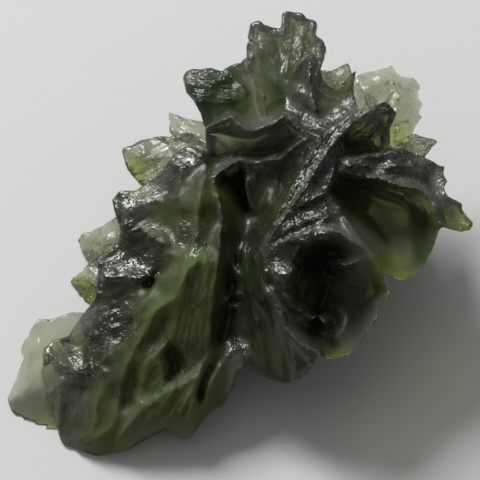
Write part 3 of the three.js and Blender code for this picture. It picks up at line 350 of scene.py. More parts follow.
# The thin petals around the edge.
PETALS: dict[str, Petal] = dict(
    tower=Petal(
        belly=3.4,
        floor=-4.6,
        rim=[
            (247, 57, -4.2), (247, 40, -4.6), (250, 22, -5.0), (259, 18, -5.0), (270, 25, -4.8),
            (281, 27, -4.8), (282, 11, -5.2), (287, 9, -5.2), (300, 10, -5.2), (308, 14, -5.2),
            (317, 19, -5), (319, 25, -5), (318, 34, -4.8), (325, 40, -4.6), (327, 49, -4.4),
            (325, 58, -4.2), (321, 70, -4.0), (322, 95, -3.4), (316, 118, -3.2), (290, 128, -3.4),
            (265, 128, -3.4), (250, 110, -3.2), (244, 80, -3.6),
        ],
        crests=[
            [(259, 18, -5), (262, 45, -4.0), (266, 75, -3.6), (270, 110, -3.2)],
            [(270, 25, -4.8), (274, 50, -3.9), (276, 85, -3.0)],
            [(283, 27, -4.8), (300, 27, -4.6), (318, 25, -5)],
            [(283, 11, -5.2), (284, 30, -4.4), (288, 60, -3.4), (286, 90, -2.6)],
            [(302, 10, -5.2), (303, 40, -4.0), (296, 80, -3.0)],
            [(319, 34, -4.8), (312, 55, -3.8), (306, 90, -3.0)],
        ],
    ),
    shoulder=Petal(
        belly=3.8,
        floor=-3.2,
        rim=[
            (205, 130, -2.8), (200, 112, -2.6), (194, 101, -3.0), (186, 92, -3.4), (182, 76, -3.8),
            (186, 70, -3.9), (191, 67, -4.0), (200, 68, -4.0), (210, 66, -4.0), (222, 70, -3.8),
            (226, 66, -3.8), (236, 62, -3.8), (247, 57, -3.8), (258, 70, -3.4), (266, 95, -2.8),
            (268, 126, -2.8), (240, 134, -2.8), (218, 130, -2.8),
        ],
        crests=[
            [(184, 82, -3.2), (198, 85, -2.4), (212, 84, -2.3), (224, 78, -2.8)],
            [(188, 93, -3.1), (204, 97, -2.2), (220, 96, -2.2), (236, 100, -2.0)],
            [(191, 67, -4), (205, 76, -3.0), (218, 80, -2.6)],
            [(226, 66, -3.8), (236, 78, -3.0), (246, 94, -2.6)],
        ],
    ),
    spike=Petal(
        belly=4.4,
        floor=-1.6,
        rim=[
            (285, 96, -2.0), (284, 86, -2.0), (290, 74, -1.8), (298, 62, -1.6), (305, 54, -1.5),
            (313, 50, -1.5), (319, 60, -1.5), (322, 74, -1.4), (327, 83, -1.3), (333, 87, -1.2),
            (340, 82, -1.3), (350, 74, -1.6), (357, 68, -1.9), (355, 80, -1.7), (355, 92, -1.4),
            (360, 108, -0.6), (346, 120, 0.3), (322, 134, 1.2), (296, 126, 0.0), (284, 112, -1.2),
        ],
        crests=[
            [(313, 50, -1.5), (311, 64, -0.8), (310, 80, -0.4), (312, 96, -0.3), (316, 110, 0.2)],
            [(285, 96, -2), (297, 95, -1.2), (308, 92, -0.9)],
        ],
    ),
    saddle=Petal(
        belly=1.5,
        floor=-3.0,
        rim=[
            (317, 66, -3.6), (322, 69, -3.4), (330, 70, -3.2), (341, 65, -3.3), (349, 61, -3.6),
            (352, 70, -3.2), (354, 86, -2.6), (345, 104, -2.2), (322, 102, -2.4), (314, 82, -3.2),
        ],
        crests=[
            [(349, 61, -3.6), (345, 72, -2.6), (334, 84, -2.2)],
        ],
    ),
    pale_fan=Petal(
        belly=0.8,
        floor=-6.2,
        rim=[
            (351, 92, -5.0), (353, 80, -5.4), (358, 72, -5.6), (370, 70, -5.8), (380, 67, -6.0),
            (388, 66, -6.2), (393, 62, -6.4), (397, 69, -6.3), (403, 74, -6.2), (417, 76, -6.4),
            (424, 85, -6.4), (420, 93, -6.0), (425, 102, -6.0), (421, 112, -5.6), (425, 116, -5.6),
            (418, 125, -5.0), (412, 136, -4.4), (396, 152, -3.4), (374, 146, -3.4), (356, 122, -4.0),
        ],
        crests=[
            [(380, 67, -5.9), (387, 80, -4.2), (393, 98, -3.6), (388, 120, -3.0)],
            [(388, 66, -6.0), (395, 80, -4.2), (401, 98, -3.6), (395, 120, -3.0)],
            [(358, 98, -4.6), (370, 86, -4.2), (380, 74, -5.0)],
            [(424, 85, -6.4), (408, 90, -4.7), (398, 98, -3.6)],
            [(358, 72, -5.6), (364, 88, -4.3), (370, 104, -3.6)],
            [(370, 70, -5.8), (377, 84, -4.3)],
            [(417, 76, -6.4), (409, 85, -4.9)],
            [(425, 102, -6.0), (413, 103, -4.6), (401, 106, -4.0)],
            [(418, 125, -5.0), (406, 123, -3.6), (396, 132, -3.0)],
            [(421, 112, -5.6), (408, 112, -4.0), (395, 122, -3.1)],
            [(403, 74, -6.2), (400, 86, -4.6)],
        ],
    ),
    pointed_fin=Petal(
        belly=1.8,
        floor=-1.6,
        rim=[
            (386, 154, 0.6), (397, 143, -0.8), (411, 133, -1.6), (430, 136, -2.0), (440, 141, -2.2),
            (433, 148, -1.8), (426, 158, -1.2), (412, 168, -0.4), (392, 166, 0.6),
        ],
        crests=[
            [(440, 141, -2.2), (420, 143, -1.1), (402, 148, 0.2)],
            [(411, 133, -1.6), (412, 145, -0.8)],
        ],
    ),
    corner_lobe=Petal(
        belly=0.1,
        floor=-5.6,
        rim=[
            (84, 312, -4.6), (70, 312, -4.9), (50, 320, -5.2), (38, 318, -5.4), (33, 324, -5.4),
            (22, 340, -5.6), (18, 351, -5.7), (22, 358, -5.7), (14, 380, -6.0), (5, 400, -6.1),
            (8, 410, -5.9), (14, 418, -5.6), (30, 424, -5.3), (42, 431, -5.0), (58, 434, -4.8),
            (78, 420, -5.2), (92, 390, -5.2), (96, 345, -4.8),
        ],
        crests=[
            [(33, 324, -5.4), (40, 350, -4.9), (46, 400, -4.8)],
            [(14, 380, -6.0), (30, 385, -5.3), (46, 392, -4.9)],
            [(50, 320, -5.2), (56, 350, -4.7), (60, 400, -4.8)],
            [(38, 318, -5.4), (30, 350, -5.0), (24, 392, -5.3), (30, 424, -5.3)],
            [(22, 358, -5.7), (36, 364, -5.0), (50, 368, -4.8)],
        ],
    ),
    back_lobe_1=Petal(
        belly=1.2,
        floor=-10.6,
        rim=[
            (63, 282, -12.2), (70, 278, -11.8), (80, 272, -11.4), (84, 262, -11.0), (96, 254, -10.0),
            (124, 256, -8.0), (134, 285, -7.5), (112, 306, -8.4), (96, 303, -9.6), (85, 304, -10.8),
            (76, 300, -11.4), (70, 290, -12.0),
        ],
        crests=[
            [(63, 282, -12.2), (82, 282, -10.4), (100, 280, -8.8)],
            [(84, 262, -11.0), (92, 275, -9.8), (90, 300, -10.6)],
        ],
    ),
    back_lobe_2=Petal(
        belly=1.2,
        floor=-11.4,
        rim=[
            (75, 240, -13.0), (80, 233, -12.8), (90, 230, -12.4), (100, 226, -12.0), (116, 214, -11.0),
            (134, 212, -9.2), (144, 240, -8.4), (124, 258, -8.8), (108, 262, -10.2), (95, 264, -11.4),
            (82, 258, -12.6), (78, 250, -13.0),
        ],
        crests=[
            [(75, 240, -13.0), (95, 244, -11.0), (118, 242, -9.2)],
            [(100, 226, -12.0), (108, 236, -10.6), (100, 254, -10.8)],
        ],
    ),
    back_lobe_3=Petal(
        belly=2.0,
        floor=-10.2,
        rim=[
            (119, 148, -10.4), (122, 144, -10.5), (130, 144, -10.4), (140, 138, -10.4), (155, 135, -10.2),
            (168, 134, -10.0), (190, 130, -9.4), (208, 140, -8.4), (205, 175, -7.0), (175, 190, -7.8),
            (150, 192, -9.0), (137, 184, -9.6), (126, 170, -10.0), (121, 158, -10.2),
        ],
        crests=[
            [(119, 148, -10.4), (138, 156, -9.3), (156, 158, -8.8), (178, 154, -8.2)],
            [(140, 138, -10.4), (144, 150, -9.6), (140, 166, -9.2), (137, 184, -9.6)],
            [(168, 134, -10.0), (170, 150, -8.9), (160, 172, -8.2)],
            [(150, 192, -9.0), (162, 176, -8.0), (182, 166, -7.4)],
        ],
    ),
    back_lobe_4=Petal(
        belly=1.1,
        floor=-11.6,
        rim=[
            (164, 107, -13.2), (170, 109, -12.9), (184, 116, -12.2), (200, 119, -11.4), (214, 122, -10.2),
            (214, 146, -8.6), (190, 150, -9.0), (175, 140, -10.8), (168, 130, -12.0), (168, 120, -12.6),
        ],
        crests=[
            [(164, 107, -13.2), (182, 126, -11.2), (200, 134, -9.8)],
        ],
    ),
)

# Smooth satin folds and flutes; where they stand out, the skin gets painted olive light.
SATIN_FOLDS: list[Patch] = [
    Patch(-3.6, 3.4, 4.4, 0.8),
    Patch(-4.6, -3.6, 5.2),
    Patch(-7.0, -8.0, 5.4),
    Patch(-9.0, -13.6, 5.6),
    Patch(-5.6, -17.0, 6.4),
    Patch(-12.6, -17.6, 5.4),
    Patch(-2.8, -13.6, 3.6),
    Patch(2.6, 4.6, 3.6, 0.4),
    Patch(1.4, 11.4, 4.2, 0.4),
    Patch(-7.2, 1.8, 3.0, 0.7),
    Patch(14.6, 0.6, 6.4, 0.8),
    Patch(4.0, -11.0, 3.4, 0.35),
]

# Where the body is a thin shell, on the side cup. These shells also get painted olive light.
THIN_WALLS: list[Patch] = [
    Patch(14.0, 1.4, 5.4, 0.9),
    Patch(14.4, -1.8, 3.8),
]

# Edges of the body that are thick and dark.
THICK_EDGES: list[Patch] = [
    Patch(3.0, -12.6, 4.6),
    Patch(-12.0, 0.5, 3.6),
    Patch(-14.2, -4.6, 3.2),
    Patch(-13.0, 4.0, 2.6),
    Patch(19.2, 1.0, 2.8, 0.9),
    Patch(11.0, -8.6, 3.0, 0.4),
    Patch(8.2, -9.8, 2.8, 0.7),
    Patch(18.6, -1.0, 3.2),
    Patch(-8.0, -19.0, 4.5, 0.4),
    Patch(-3.0, -16.6, 3.8),
    Patch(-14.0, -20.0, 4.0),
]

# Petals that are as dark as the body.
DARK_PETALS: list[Patch] = [
    Patch(-2.6, 15.0, 4.2),
    Patch(6.8, 16.4, 2.4, 0.6),
    Patch(9.4, 15.4, 2.0, 0.5),
]

# Edges with a painted lime glow, where light comes through.
LIME_GLOW_EDGES: list[Patch] = [
    Patch(14.8, -3.2, 3.8),
    Patch(9.6, -12.0, 2.2),
    Patch(22.0, 1.4, 2.6),
    Patch(-10.8, 6.6, 2.2, 0.8),
    Patch(-15.8, -5.0, 2.4, 0.8),
    Patch(15.6, 10.6, 2.2, 0.8),
    Patch(-18.6, -18.0, 2.4, 0.5),
    Patch(-11.8, -20.6, 2.4, 0.6),
]

# Frosted patches, which sparkle like silver.
FROSTED: list[Patch] = [
    Patch(-3.2, 16.2, 2.8),
    Patch(-9.0, 0.8, 3.4, 0.25),
    Patch(-10.6, -2.4, 4.0, 0.8),
    Patch(-11.5, 4.2, 2.8, 0.8),
    Patch(-5.0, 0.4, 2.6),
    Patch(-5.4, 8.6, 2.6),
    Patch(-12.6, -8.0, 3.0),
    Patch(-16.0, -12.4, 3.2),
    Patch(-8.0, 6.2, 2.4),
    Patch(-14.2, -3.2, 1.8),
    Patch(2.4, -1.0, 2.4),
    Patch(4.0, 1.4, 2.8),
    Patch(5.6, 4.6, 3.0),
    Patch(7.4, 7.6, 3.2),
    Patch(9.4, 10.6, 3.0),
    Patch(12.4, 13.2, 2.6),
    Patch(16.0, 7.4, 4.6),
    Patch(19.6, 6.0, 3.2),
    Patch(18.0, 9.4, 2.4),
    Patch(7.4, 1.4, 3.6),
    Patch(9.6, -2.0, 2.4),
    Patch(3.6, -1.8, 2.0),
    Patch(10.4, -2.6, 1.8),
    Patch(6.4, -7.2, 1.6, 0.8),
    Patch(3.6, 11.4, 2.0, 0.7),
    Patch(7.0, 10.8, 1.6, 0.7),
    Patch(-11.2, -15.4, 1.6),
    Patch(7.2, 17.0, 2.4, 0.8),
    Patch(-2.4, 6.6, 1.3),
    Patch(0.4, 7.6, 1.6),
    Patch(-0.4, -5.6, 1.6),
    Patch(-0.8, -11.0, 2.2),
    Patch(-5.4, -12.2, 1.6),
    Patch(6.4, 20.0, 4.0, 0.5),
    Patch(9.4, 16.4, 2.4, 0.7),
    Patch(18.0, 15.0, 2.4, 0.9),
    Patch(17.8, 11.8, 1.8, 0.8),
    Patch(14.2, 15.4, 2.4, 0.5),
    Patch(12.8, 8.0, 2.4),
    Patch(4.6, -2.4, 3.0),
    Patch(21.6, 2.0, 2.4, 0.6),
]

# Streaks of the glass, and how many widths long a streak is.
STREAK_LENGTH = 7.0
STREAKS: list[Streaks] = [
    Streaks(-2.5, 15.5, 4.2, 172),
    Streaks(1.5, 19.0, 2.6, 86),
    Streaks(6.5, 19.5, 3.6, 92),
    Streaks(6.0, 14.0, 2.4, 80, 0.45, 0.6),
    Streaks(7.6, 16.8, 2.4, 75),
    Streaks(10.0, 16.0, 2.2, 20),
    Streaks(15.0, 14.8, 3.6, 50, 0.5, 0.7),
    Streaks(4.0, 1.6, 2.6, 55),
    Streaks(6.0, 5.0, 3.0, 58),
    Streaks(8.6, 9.0, 3.2, 52),
    Streaks(11.8, 12.4, 3.2, 42),
    Streaks(16.0, 7.6, 4.4, 12, 0.5, 0.8),
    Streaks(17.4, 9.6, 2.8, 8),
    Streaks(19.4, 4.0, 3.0, 140, 0.5, 0.6),
    Streaks(7.4, 1.2, 3.6, 25),
    Streaks(-4.0, -4.0, 4.0, 75, 0.42),
    Streaks(-5.0, -9.5, 4.0, 82, 0.42),
    Streaks(-9.0, -11.0, 4.0, 62, 0.42),
    Streaks(-6.5, -17.0, 4.5, 58, 0.42),
    Streaks(-16.0, -16.0, 4.0, 70, 0.5, 0.8),
    Streaks(0.6, -3.0, 3.0, 88, 0.5, 0.5),
    Streaks(2.4, 5.0, 3.4, 80, 0.6, 0.5),
    Streaks(-4.5, 4.0, 3.6, 84, 0.6, 0.4),
    Streaks(-10.0, 0.5, 3.4, 30, 0.5, 0.6),
    Streaks(-12.0, -7.6, 4.0, 22, 0.5, 0.7),
    Streaks(-15.4, -11.6, 4.0, 12, 0.6, 0.6),
    Streaks(-20.6, -14.0, 4.8, 80, 0.6, 0.7),
    Streaks(-9.6, 8.0, 4.0, 24, 0.5, 0.8),
    Streaks(-6.0, 11.0, 2.6, 140, 0.5, 0.8),
    Streaks(-14.8, -0.4, 3.4, 10, 0.5, 0.8),
    Streaks(-15.8, -4.6, 3.2, 165, 0.5, 0.8),
]


class Side(Enum):
    """The two skins of a sheet."""

    FRONT = 1
    BACK = -1


@dataclass(frozen=True)
class FaceGrid:
    """A window of the square grid over the broad face. Arrays on it run across first and up second.

    low and high are its corners, coarsest the step that they are whole numbers of, and step the
    distance between its nodes.
    """

    low: tuple[float, float] = (-24.0, -24.0)
    high: tuple[float, float] = (24.0, 24.0)
    coarsest: float = 0.8
    step: float = 0.1

    @classmethod
    def around(cls, rim: Line, margin: float) -> "FaceGrid":
        """The window round an outline, in whole coarse steps.

        Args:
            rim: the outline.
            margin: how far the window goes beyond it.

        Returns:
            The window.
        """
        points = np.array(rim)[:, :2]
        low = np.floor((points.min(0) - margin - cls.low) / cls.coarsest) * cls.coarsest + cls.low
        high = np.ceil((points.max(0) + margin - cls.low) / cls.coarsest) * cls.coarsest + cls.low
        low, high = np.maximum(low, cls.low), np.minimum(high, cls.high)
        return cls(tuple(low), tuple(high))

    def axis(self, direction: int, step: float) -> np.ndarray:
        """The node positions along one side, at the given step."""
        count = int(round((self.high[direction] - self.low[direction]) / step)) + 1
        return np.arange(count) * step + self.low[direction]

    def nodes(self, step: float) -> tuple[np.ndarray, np.ndarray]:
        """The across and up positions of every node, at the given step."""
        return np.meshgrid(self.axis(0, step), self.axis(1, step), indexing="ij")

    def steps(self) -> list[float]:
        """The steps from the coarsest to the finest, each half the last."""
        halvings = int(round(math.log2(self.coarsest / self.step)))
        return [self.coarsest / 2**k for k in range(halvings + 1)]


def ground_at(up: float) -> float:
    """How far out the ground lies, at a height up the face."""
    return -(REST_HEIGHT + up * LEAN_SIN) / LEAN_COS


def on_grid(line: Line) -> Line:
    """Moves a line from the drawing to the grid.

    Args:
        line: its drawn points.

    Returns:
        The same line as grid points.
    """
    return [
        ((across - DRAWING_MIDDLE) / STEPS_PER_SQUARE, (DRAWING_MIDDLE - down) / STEPS_PER_SQUARE, out)
        for across, down, out in line
    ]


def closed(line: Line) -> Line:
    """The line with its first point repeated at its end."""
    return line + line[:1]


def lifted(line: Line, by: float) -> Line:
    """The line moved out of the face."""
    return [(across, up, out + by) for across, up, out in line]


def refined(skin: np.ndarray) -> np.ndarray:
    """Halves the step of a skin's grid.

    Args:
        skin: its heights.

    Returns:
        The same heights, with halfway values between them.
    """
    fine = np.zeros([2 * side - 1 for side in skin.shape])
    fine[::2, ::2] = skin
    fine[1::2, ::2] = (skin[:-1] + skin[1:]) / 2
    fine[:, 1::2] = (fine[:, :-1:2] + fine[:, 2::2]) / 2
    return fine


def cover(patch: Patch | Streaks, across: np.ndarray, up: np.ndarray) -> np.ndarray:
    """How strongly one patch counts at some points, from 0 to 1."""
    away = np.hypot(across - patch.across, up - patch.up) / patch.radius
    return patch.strength * np.clip(PATCH_FADE - PATCH_FADE * away, 0, 1)


def patched(patches: list[Patch], across: np.ndarray, up: np.ndarray) -> np.ndarray:
    """How strongly patches of the broad face count at some points, from 0 to 1.

    Args:
        patches: the patches.
        across: the points' places across the face.
        up: their places up the face.

    Returns:
        The strength at each point.
    """
    strength = np.zeros(np.shape(across))
    for patch in patches:
        strength = np.maximum(strength, cover(patch, across, up))
    return strength


def unit(vectors: np.ndarray) -> np.ndarray:
    """The vectors, one in a row, at length 1."""
    return vectors / np.maximum(np.linalg.norm(vectors, axis=1, keepdims=True), LEAST_LENGTH)


def neighbours(skin: np.ndarray) -> np.ndarray:
    """The sum of each node's four neighbours. The outermost nodes count as their own neighbours."""
    edge = np.pad(skin, 1, mode="edge")
    return edge[:-2, 1:-1] + edge[2:, 1:-1] + edge[1:-1, :-2] + edge[1:-1, 2:]


def softened(skin: np.ndarray, rounds: int) -> np.ndarray:
    """Averages each node of a skin with its neighbours.

    Args:
        skin: its heights.
        rounds: how many times.

    Returns:
        The softer heights.
    """
    for _ in range(rounds):
        skin = (skin + neighbours(skin) / 4) / 2
    return skin


def steepness(skin: np.ndarray, grid: FaceGrid) -> np.ndarray:
    """How much longer the skin is than the face behind it, at each node."""
    slope_across, slope_up = np.gradient(skin, grid.step)
    return np.sqrt(1 + slope_across**2 + slope_up**2)


def ripples(grid: FaceGrid, seed: int) -> np.ndarray:
    """Uneven waves over a grid, as long as its coarsest step.

    Args:
        grid: the grid.
        seed: chooses the waves.

    Returns:
        Their heights, from -1 to 1, at each node.
    """
    coarse = grid.nodes(grid.coarsest)[0].shape
    waves = np.random.default_rng(seed).uniform(-1, 1, coarse)
    for _ in grid.steps()[1:]:
        waves = refined(waves)
    return waves


@dataclass(frozen=True)
class Membrane:
    """A skin that hangs between crests, as an etched surface does.

    pull is how far a crest draws the skin up around it, spread is how wide one valley depth counts, and
    uneven is how far a crest rises and falls along its line, all in squares. A line is laid on the grid
    with line_samples points a step. The skin is relaxed on coarse grids first, sweeps times on each.
    """

    grid: FaceGrid
    pull: float
    spread: float = 1.7
    fallback_weight: float = 0.02
    line_samples: float = 2.5
    sweeps: int = 80
    overrelaxation: float = 1.6
    uneven: float = 0.3
    seed: int = 7

    def fixed(self, lines: list[Line], step: float) -> tuple[np.ndarray, np.ndarray]:
        """Puts the crests on the grid.

        Args:
            lines: the crests, rims and hollows whose heights are given.
            step: the distance between nodes.

        Returns:
            The nodes that a line crosses, and their heights.
        """
        total = np.zeros(self.grid.nodes(step)[0].shape)
        hits = np.zeros_like(total)
        for line in lines:
            for start, end in zip(line, line[1:]):
                start, end = np.array(start), np.array(end)
                samples = int(np.hypot(*(end - start)[:2]) / step * self.line_samples) + 2
                walk = start + np.linspace(0, 1, samples)[:, None] * (end - start)
                cells = np.rint((walk[:, :2] - self.grid.low) / step).astype(int)
                np.add.at(total, tuple(cells.T), walk[:, 2])
                np.add.at(hits, tuple(cells.T), 1)
        on_line = hits > 0
        return on_line, np.where(on_line, total / np.maximum(hits, 1), 0)

    def valleys(self, floor: Line, fallback: float, step: float) -> np.ndarray:
        """Blends the valley depths over the grid.

        Args:
            floor: points that give a valley's depth.
            fallback: the depth where no such point is near.
            step: the distance between nodes.

        Returns:
            The depth that the skin hangs to at each node.
        """
        across, up = (self.grid.axis(k, step) for k in (0, 1))
        points = np.array(floor)
        near_across = np.exp(-((across[:, None] - points[:, 0]) ** 2) / (2 * self.spread**2))
        near_up = np.exp(-((up[:, None] - points[:, 1]) ** 2) / (2 * self.spread**2))
        total = near_across @ (near_up * points[:, 2]).T + fallback * self.fallback_weight
        return total / (near_across @ near_up.T + self.fallback_weight)

    def stretch(self, lines: list[Line], floor: Line, fallback: float) -> np.ndarray:
        """Hangs the skin, on one grid after another.

        Args:
            lines: the crests, rims and hollows whose heights are given.
            floor: points that give a valley's depth.
            fallback: the depth where no such point is near.

        Returns:
            The skin's height at each node of the finest grid.
        """
        waves = self.uneven * ripples(self.grid, self.seed)
        waves *= 1 - patched(SATIN_FOLDS, *self.grid.nodes(self.grid.step))
        skin = None
        for step in self.grid.steps():
            stride = int(round(step / self.grid.step))
            on_line, heights = self.fixed(lines, step)
            heights += waves[::stride, ::stride]
            rest = self.valleys(floor, fallback, step)
            skin = rest.copy() if skin is None else refined(skin)
            skin[on_line] = heights[on_line]
            skin = self.relaxed(skin, rest, on_line, (step / self.pull) ** 2)
        return skin

    def relaxed(
        self, skin: np.ndarray, rest: np.ndarray, on_line: np.ndarray, stiffness: float
    ) -> np.ndarray:
        """Relaxes a skin on one grid, every other node at a time.

        Args:
            skin: its heights to start from.
            rest: the depths that it hangs to.
            on_line: the nodes that stay where they are.
            stiffness: how hard the depths draw it, against its neighbours.

        Returns:
            Its heights.
        """
        across, up = np.indices(skin.shape)
        halves = [~on_line & ((across + up) % 2 == parity) for parity in (0, 1)]
        for _ in range(self.sweeps):
            for half in halves:
                target = (neighbours(skin) + stiffness * rest) / (4 + stiffness)
                skin = np.where(half, skin + self.overrelaxation * (target - skin), skin)
        return skin


def rim_distance(grid: FaceGrid, rim: Line) -> np.ndarray:
    """Signed distance from each node to an outline.

    Args:
        grid: the grid.
        rim: the outline, open.

    Returns:
        The distance, negative inside the outline.
    """
    across, up = grid.nodes(grid.step)
    nearest = np.full(across.shape, np.inf)
    inside = np.zeros(across.shape, bool)
    for (x0, y0, _), (x1, y1, _) in zip(rim, closed(rim)[1:]):
        dx, dy = x1 - x0, y1 - y0
        along = np.clip(((across - x0) * dx + (up - y0) * dy) / (dx * dx + dy * dy), 0, 1)
        nearest = np.minimum(nearest, (across - x0 - along * dx) ** 2 + (up - y0 - along * dy) ** 2)
        if dy:
            inside ^= ((y0 <= up) != (y1 <= up)) & (across < x0 + (up - y0) * dx / dy)
    return np.where(inside, -1, 1) * np.sqrt(nearest)


@dataclass
class Sheet:
    """One sheet of glass, between a front skin and a back skin.

    grid is the window that they are drawn on, and outline the signed distance to the sheet's rim.
    """

    name: str
    grid: FaceGrid
    front: np.ndarray
    back: np.ndarray
    outline: np.ndarray

    def thickness(self) -> np.ndarray:
        """How thick the sheet is across its slope, at each node."""
        steep = np.maximum(steepness(self.front, self.grid), steepness(self.back, self.grid))
        return (self.front - self.back) / steep


@dataclass(frozen=True)
class SheetMaker:
    """Makes the stone's sheets. Lengths are grid squares.

    The body's walls grow thicker by wall_growth for each square from the rim, up to wall_limit, and its
    thin shells by shell_growth, up to shell_limit. Thick edges are thick_edge thicker, and no wall is
    thicker than steep_limit times as much where it slopes. Folds are softened fold_rounds times, and the
    back of a shell shell_rounds. The underside hangs at back_depth between its crests, ground_clearance
    over the ground, on a lattice of floor points back_floor_step apart that goes out to back_floor_reach.
    A petal is petal_rim thick at its rim and its front hangs petal_dish behind it. Rims are notched up to
    notch deep. A fold stands out by relief_height in full, and level glass counts as flat_relief.
    """

    rim_thickness: float = 0.42
    wall_growth: float = 1.1
    wall_limit: float = 4.0
    belly_reach: float = 1.2
    steep_limit: float = 2.2
    front_pull: float = 1.0
    back_pull: float = 1.8
    petal_rim: float = 0.4
    valley_fallback: float = -2.0
    back_depth: float = -6.5
    ground_clearance: float = 1.0
    back_floor_step: int = 3
    back_floor_reach: int = 22
    petal_dish: float = 0.4
    margin: float = 1.5
    thick_edge: float = 3.5
    shell_growth: float = 0.7
    shell_limit: float = 2.8
    shell_rounds: int = 60
    fold_rounds: int = 2
    relief_rounds: int = 160
    relief_height: float = 0.8
    flat_relief: float = 0.8
    notch: float = 0.3

    def body(self) -> Sheet:
        """The thick body, with its shelves, flutes and cups in front and its feet behind.

        Returns:
            Its sheet.
        """
        grid = FaceGrid()
        rim = on_grid(BODY_RIM)
        outline = rim_distance(grid, rim)
        across, up = grid.nodes(grid.step)
        front = self.body_front(grid, rim)
        smooth = softened(front, self.shell_rounds)
        steep = steepness(smooth, grid)
        wall = self.wall(outline, self.wall_growth, self.wall_limit)
        wall += self.thick_edge * patched(THICK_EDGES, across, up)
        back = np.minimum(self.body_back(grid, rim), front - wall * np.minimum(steep, self.steep_limit))
        shell = smooth - self.wall(outline, self.shell_growth, self.shell_limit) * steep
        shell = np.minimum(shell, front - self.rim_thickness)
        back += patched(THIN_WALLS, across, up) * (shell - back)
        return Sheet("body", grid, front, back, self.notched(grid, outline, 1))

    def wall(self, outline: np.ndarray, growth: float, limit: float) -> np.ndarray:
        """How thick the body is at each node: rim_thickness at the rim, and more inside it."""
        return self.rim_thickness + np.minimum(growth * np.maximum(-outline, 0), limit)

    def body_front(self, grid: FaceGrid, rim: Line) -> np.ndarray:
        """The body's front skin, hung between its crests and softened on its satin folds.

        Args:
            grid: the body's window.
            rim: its outline.

        Returns:
            The skin's heights.
        """
        crests = [on_grid(line) for line in (*FRONT_CRESTS.values(), *FRONT_HOLLOWS.values())]
        membrane = Membrane(grid, self.front_pull)
        front = membrane.stretch([*crests, closed(rim)], on_grid(VALLEY_FLOORS), self.valley_fallback)
        folds = patched(SATIN_FOLDS, *grid.nodes(grid.step))
        return front + folds * (softened(front, self.fold_rounds) - front)

    def body_back(self, grid: FaceGrid, rim: Line) -> np.ndarray:
        """The body's back skin, hung between its keels and kept off the ground.

        Args:
            grid: the body's window.
            rim: its outline.

        Returns:
            The skin's heights.
        """
        keels = [*BACK_CRESTS.values(), closed(lifted(rim, -self.rim_thickness))]
        reach = range(-self.back_floor_reach, self.back_floor_reach + 1, self.back_floor_step)
        lowest = {up: max(self.back_depth, ground_at(up) + self.ground_clearance) for up in reach}
        floor = [(across, up, lowest[up]) for across in reach for up in reach]
        return Membrane(grid, self.back_pull).stretch(keels, floor, self.back_depth)

    def relief(self, sheet: Sheet) -> np.ndarray:
        """How far a sheet's folds stand out of its hollows, from 0 to 1, at each node."""
        above = sheet.front - softened(sheet.front, self.relief_rounds)
        return np.clip(self.flat_relief + above / self.relief_height, 0, 1)

    def notched(self, grid: FaceGrid, outline: np.ndarray, seed: int) -> np.ndarray:
        """An outline with small notches, where etching ate into the rim."""
        return outline + self.notch * np.maximum(ripples(grid, seed), 0) ** 2

    def petal(self, name: str, petal: Petal) -> Sheet:
        """A thin petal, ridged in front and dished behind.

        Args:
            name: what the petal is called.
            petal: its drawing.

        Returns:
            The sheet.
        """
        rim = on_grid(petal.rim)
        grid = FaceGrid.around(rim, self.margin)
        crests = [on_grid(crest) for crest in petal.crests]
        dish = lifted(rim, -self.petal_dish)
        front = Membrane(grid, self.front_pull).stretch([*crests, closed(rim)], dish, petal.floor)
        outline = rim_distance(grid, rim)
        swell = petal.belly * (1 - np.exp(-np.maximum(-outline, 0) / self.belly_reach))
        back = np.minimum(softened(front, self.shell_rounds), front) - self.petal_rim - swell
        return Sheet(name, grid, front, back, self.notched(grid, outline, len(rim)))


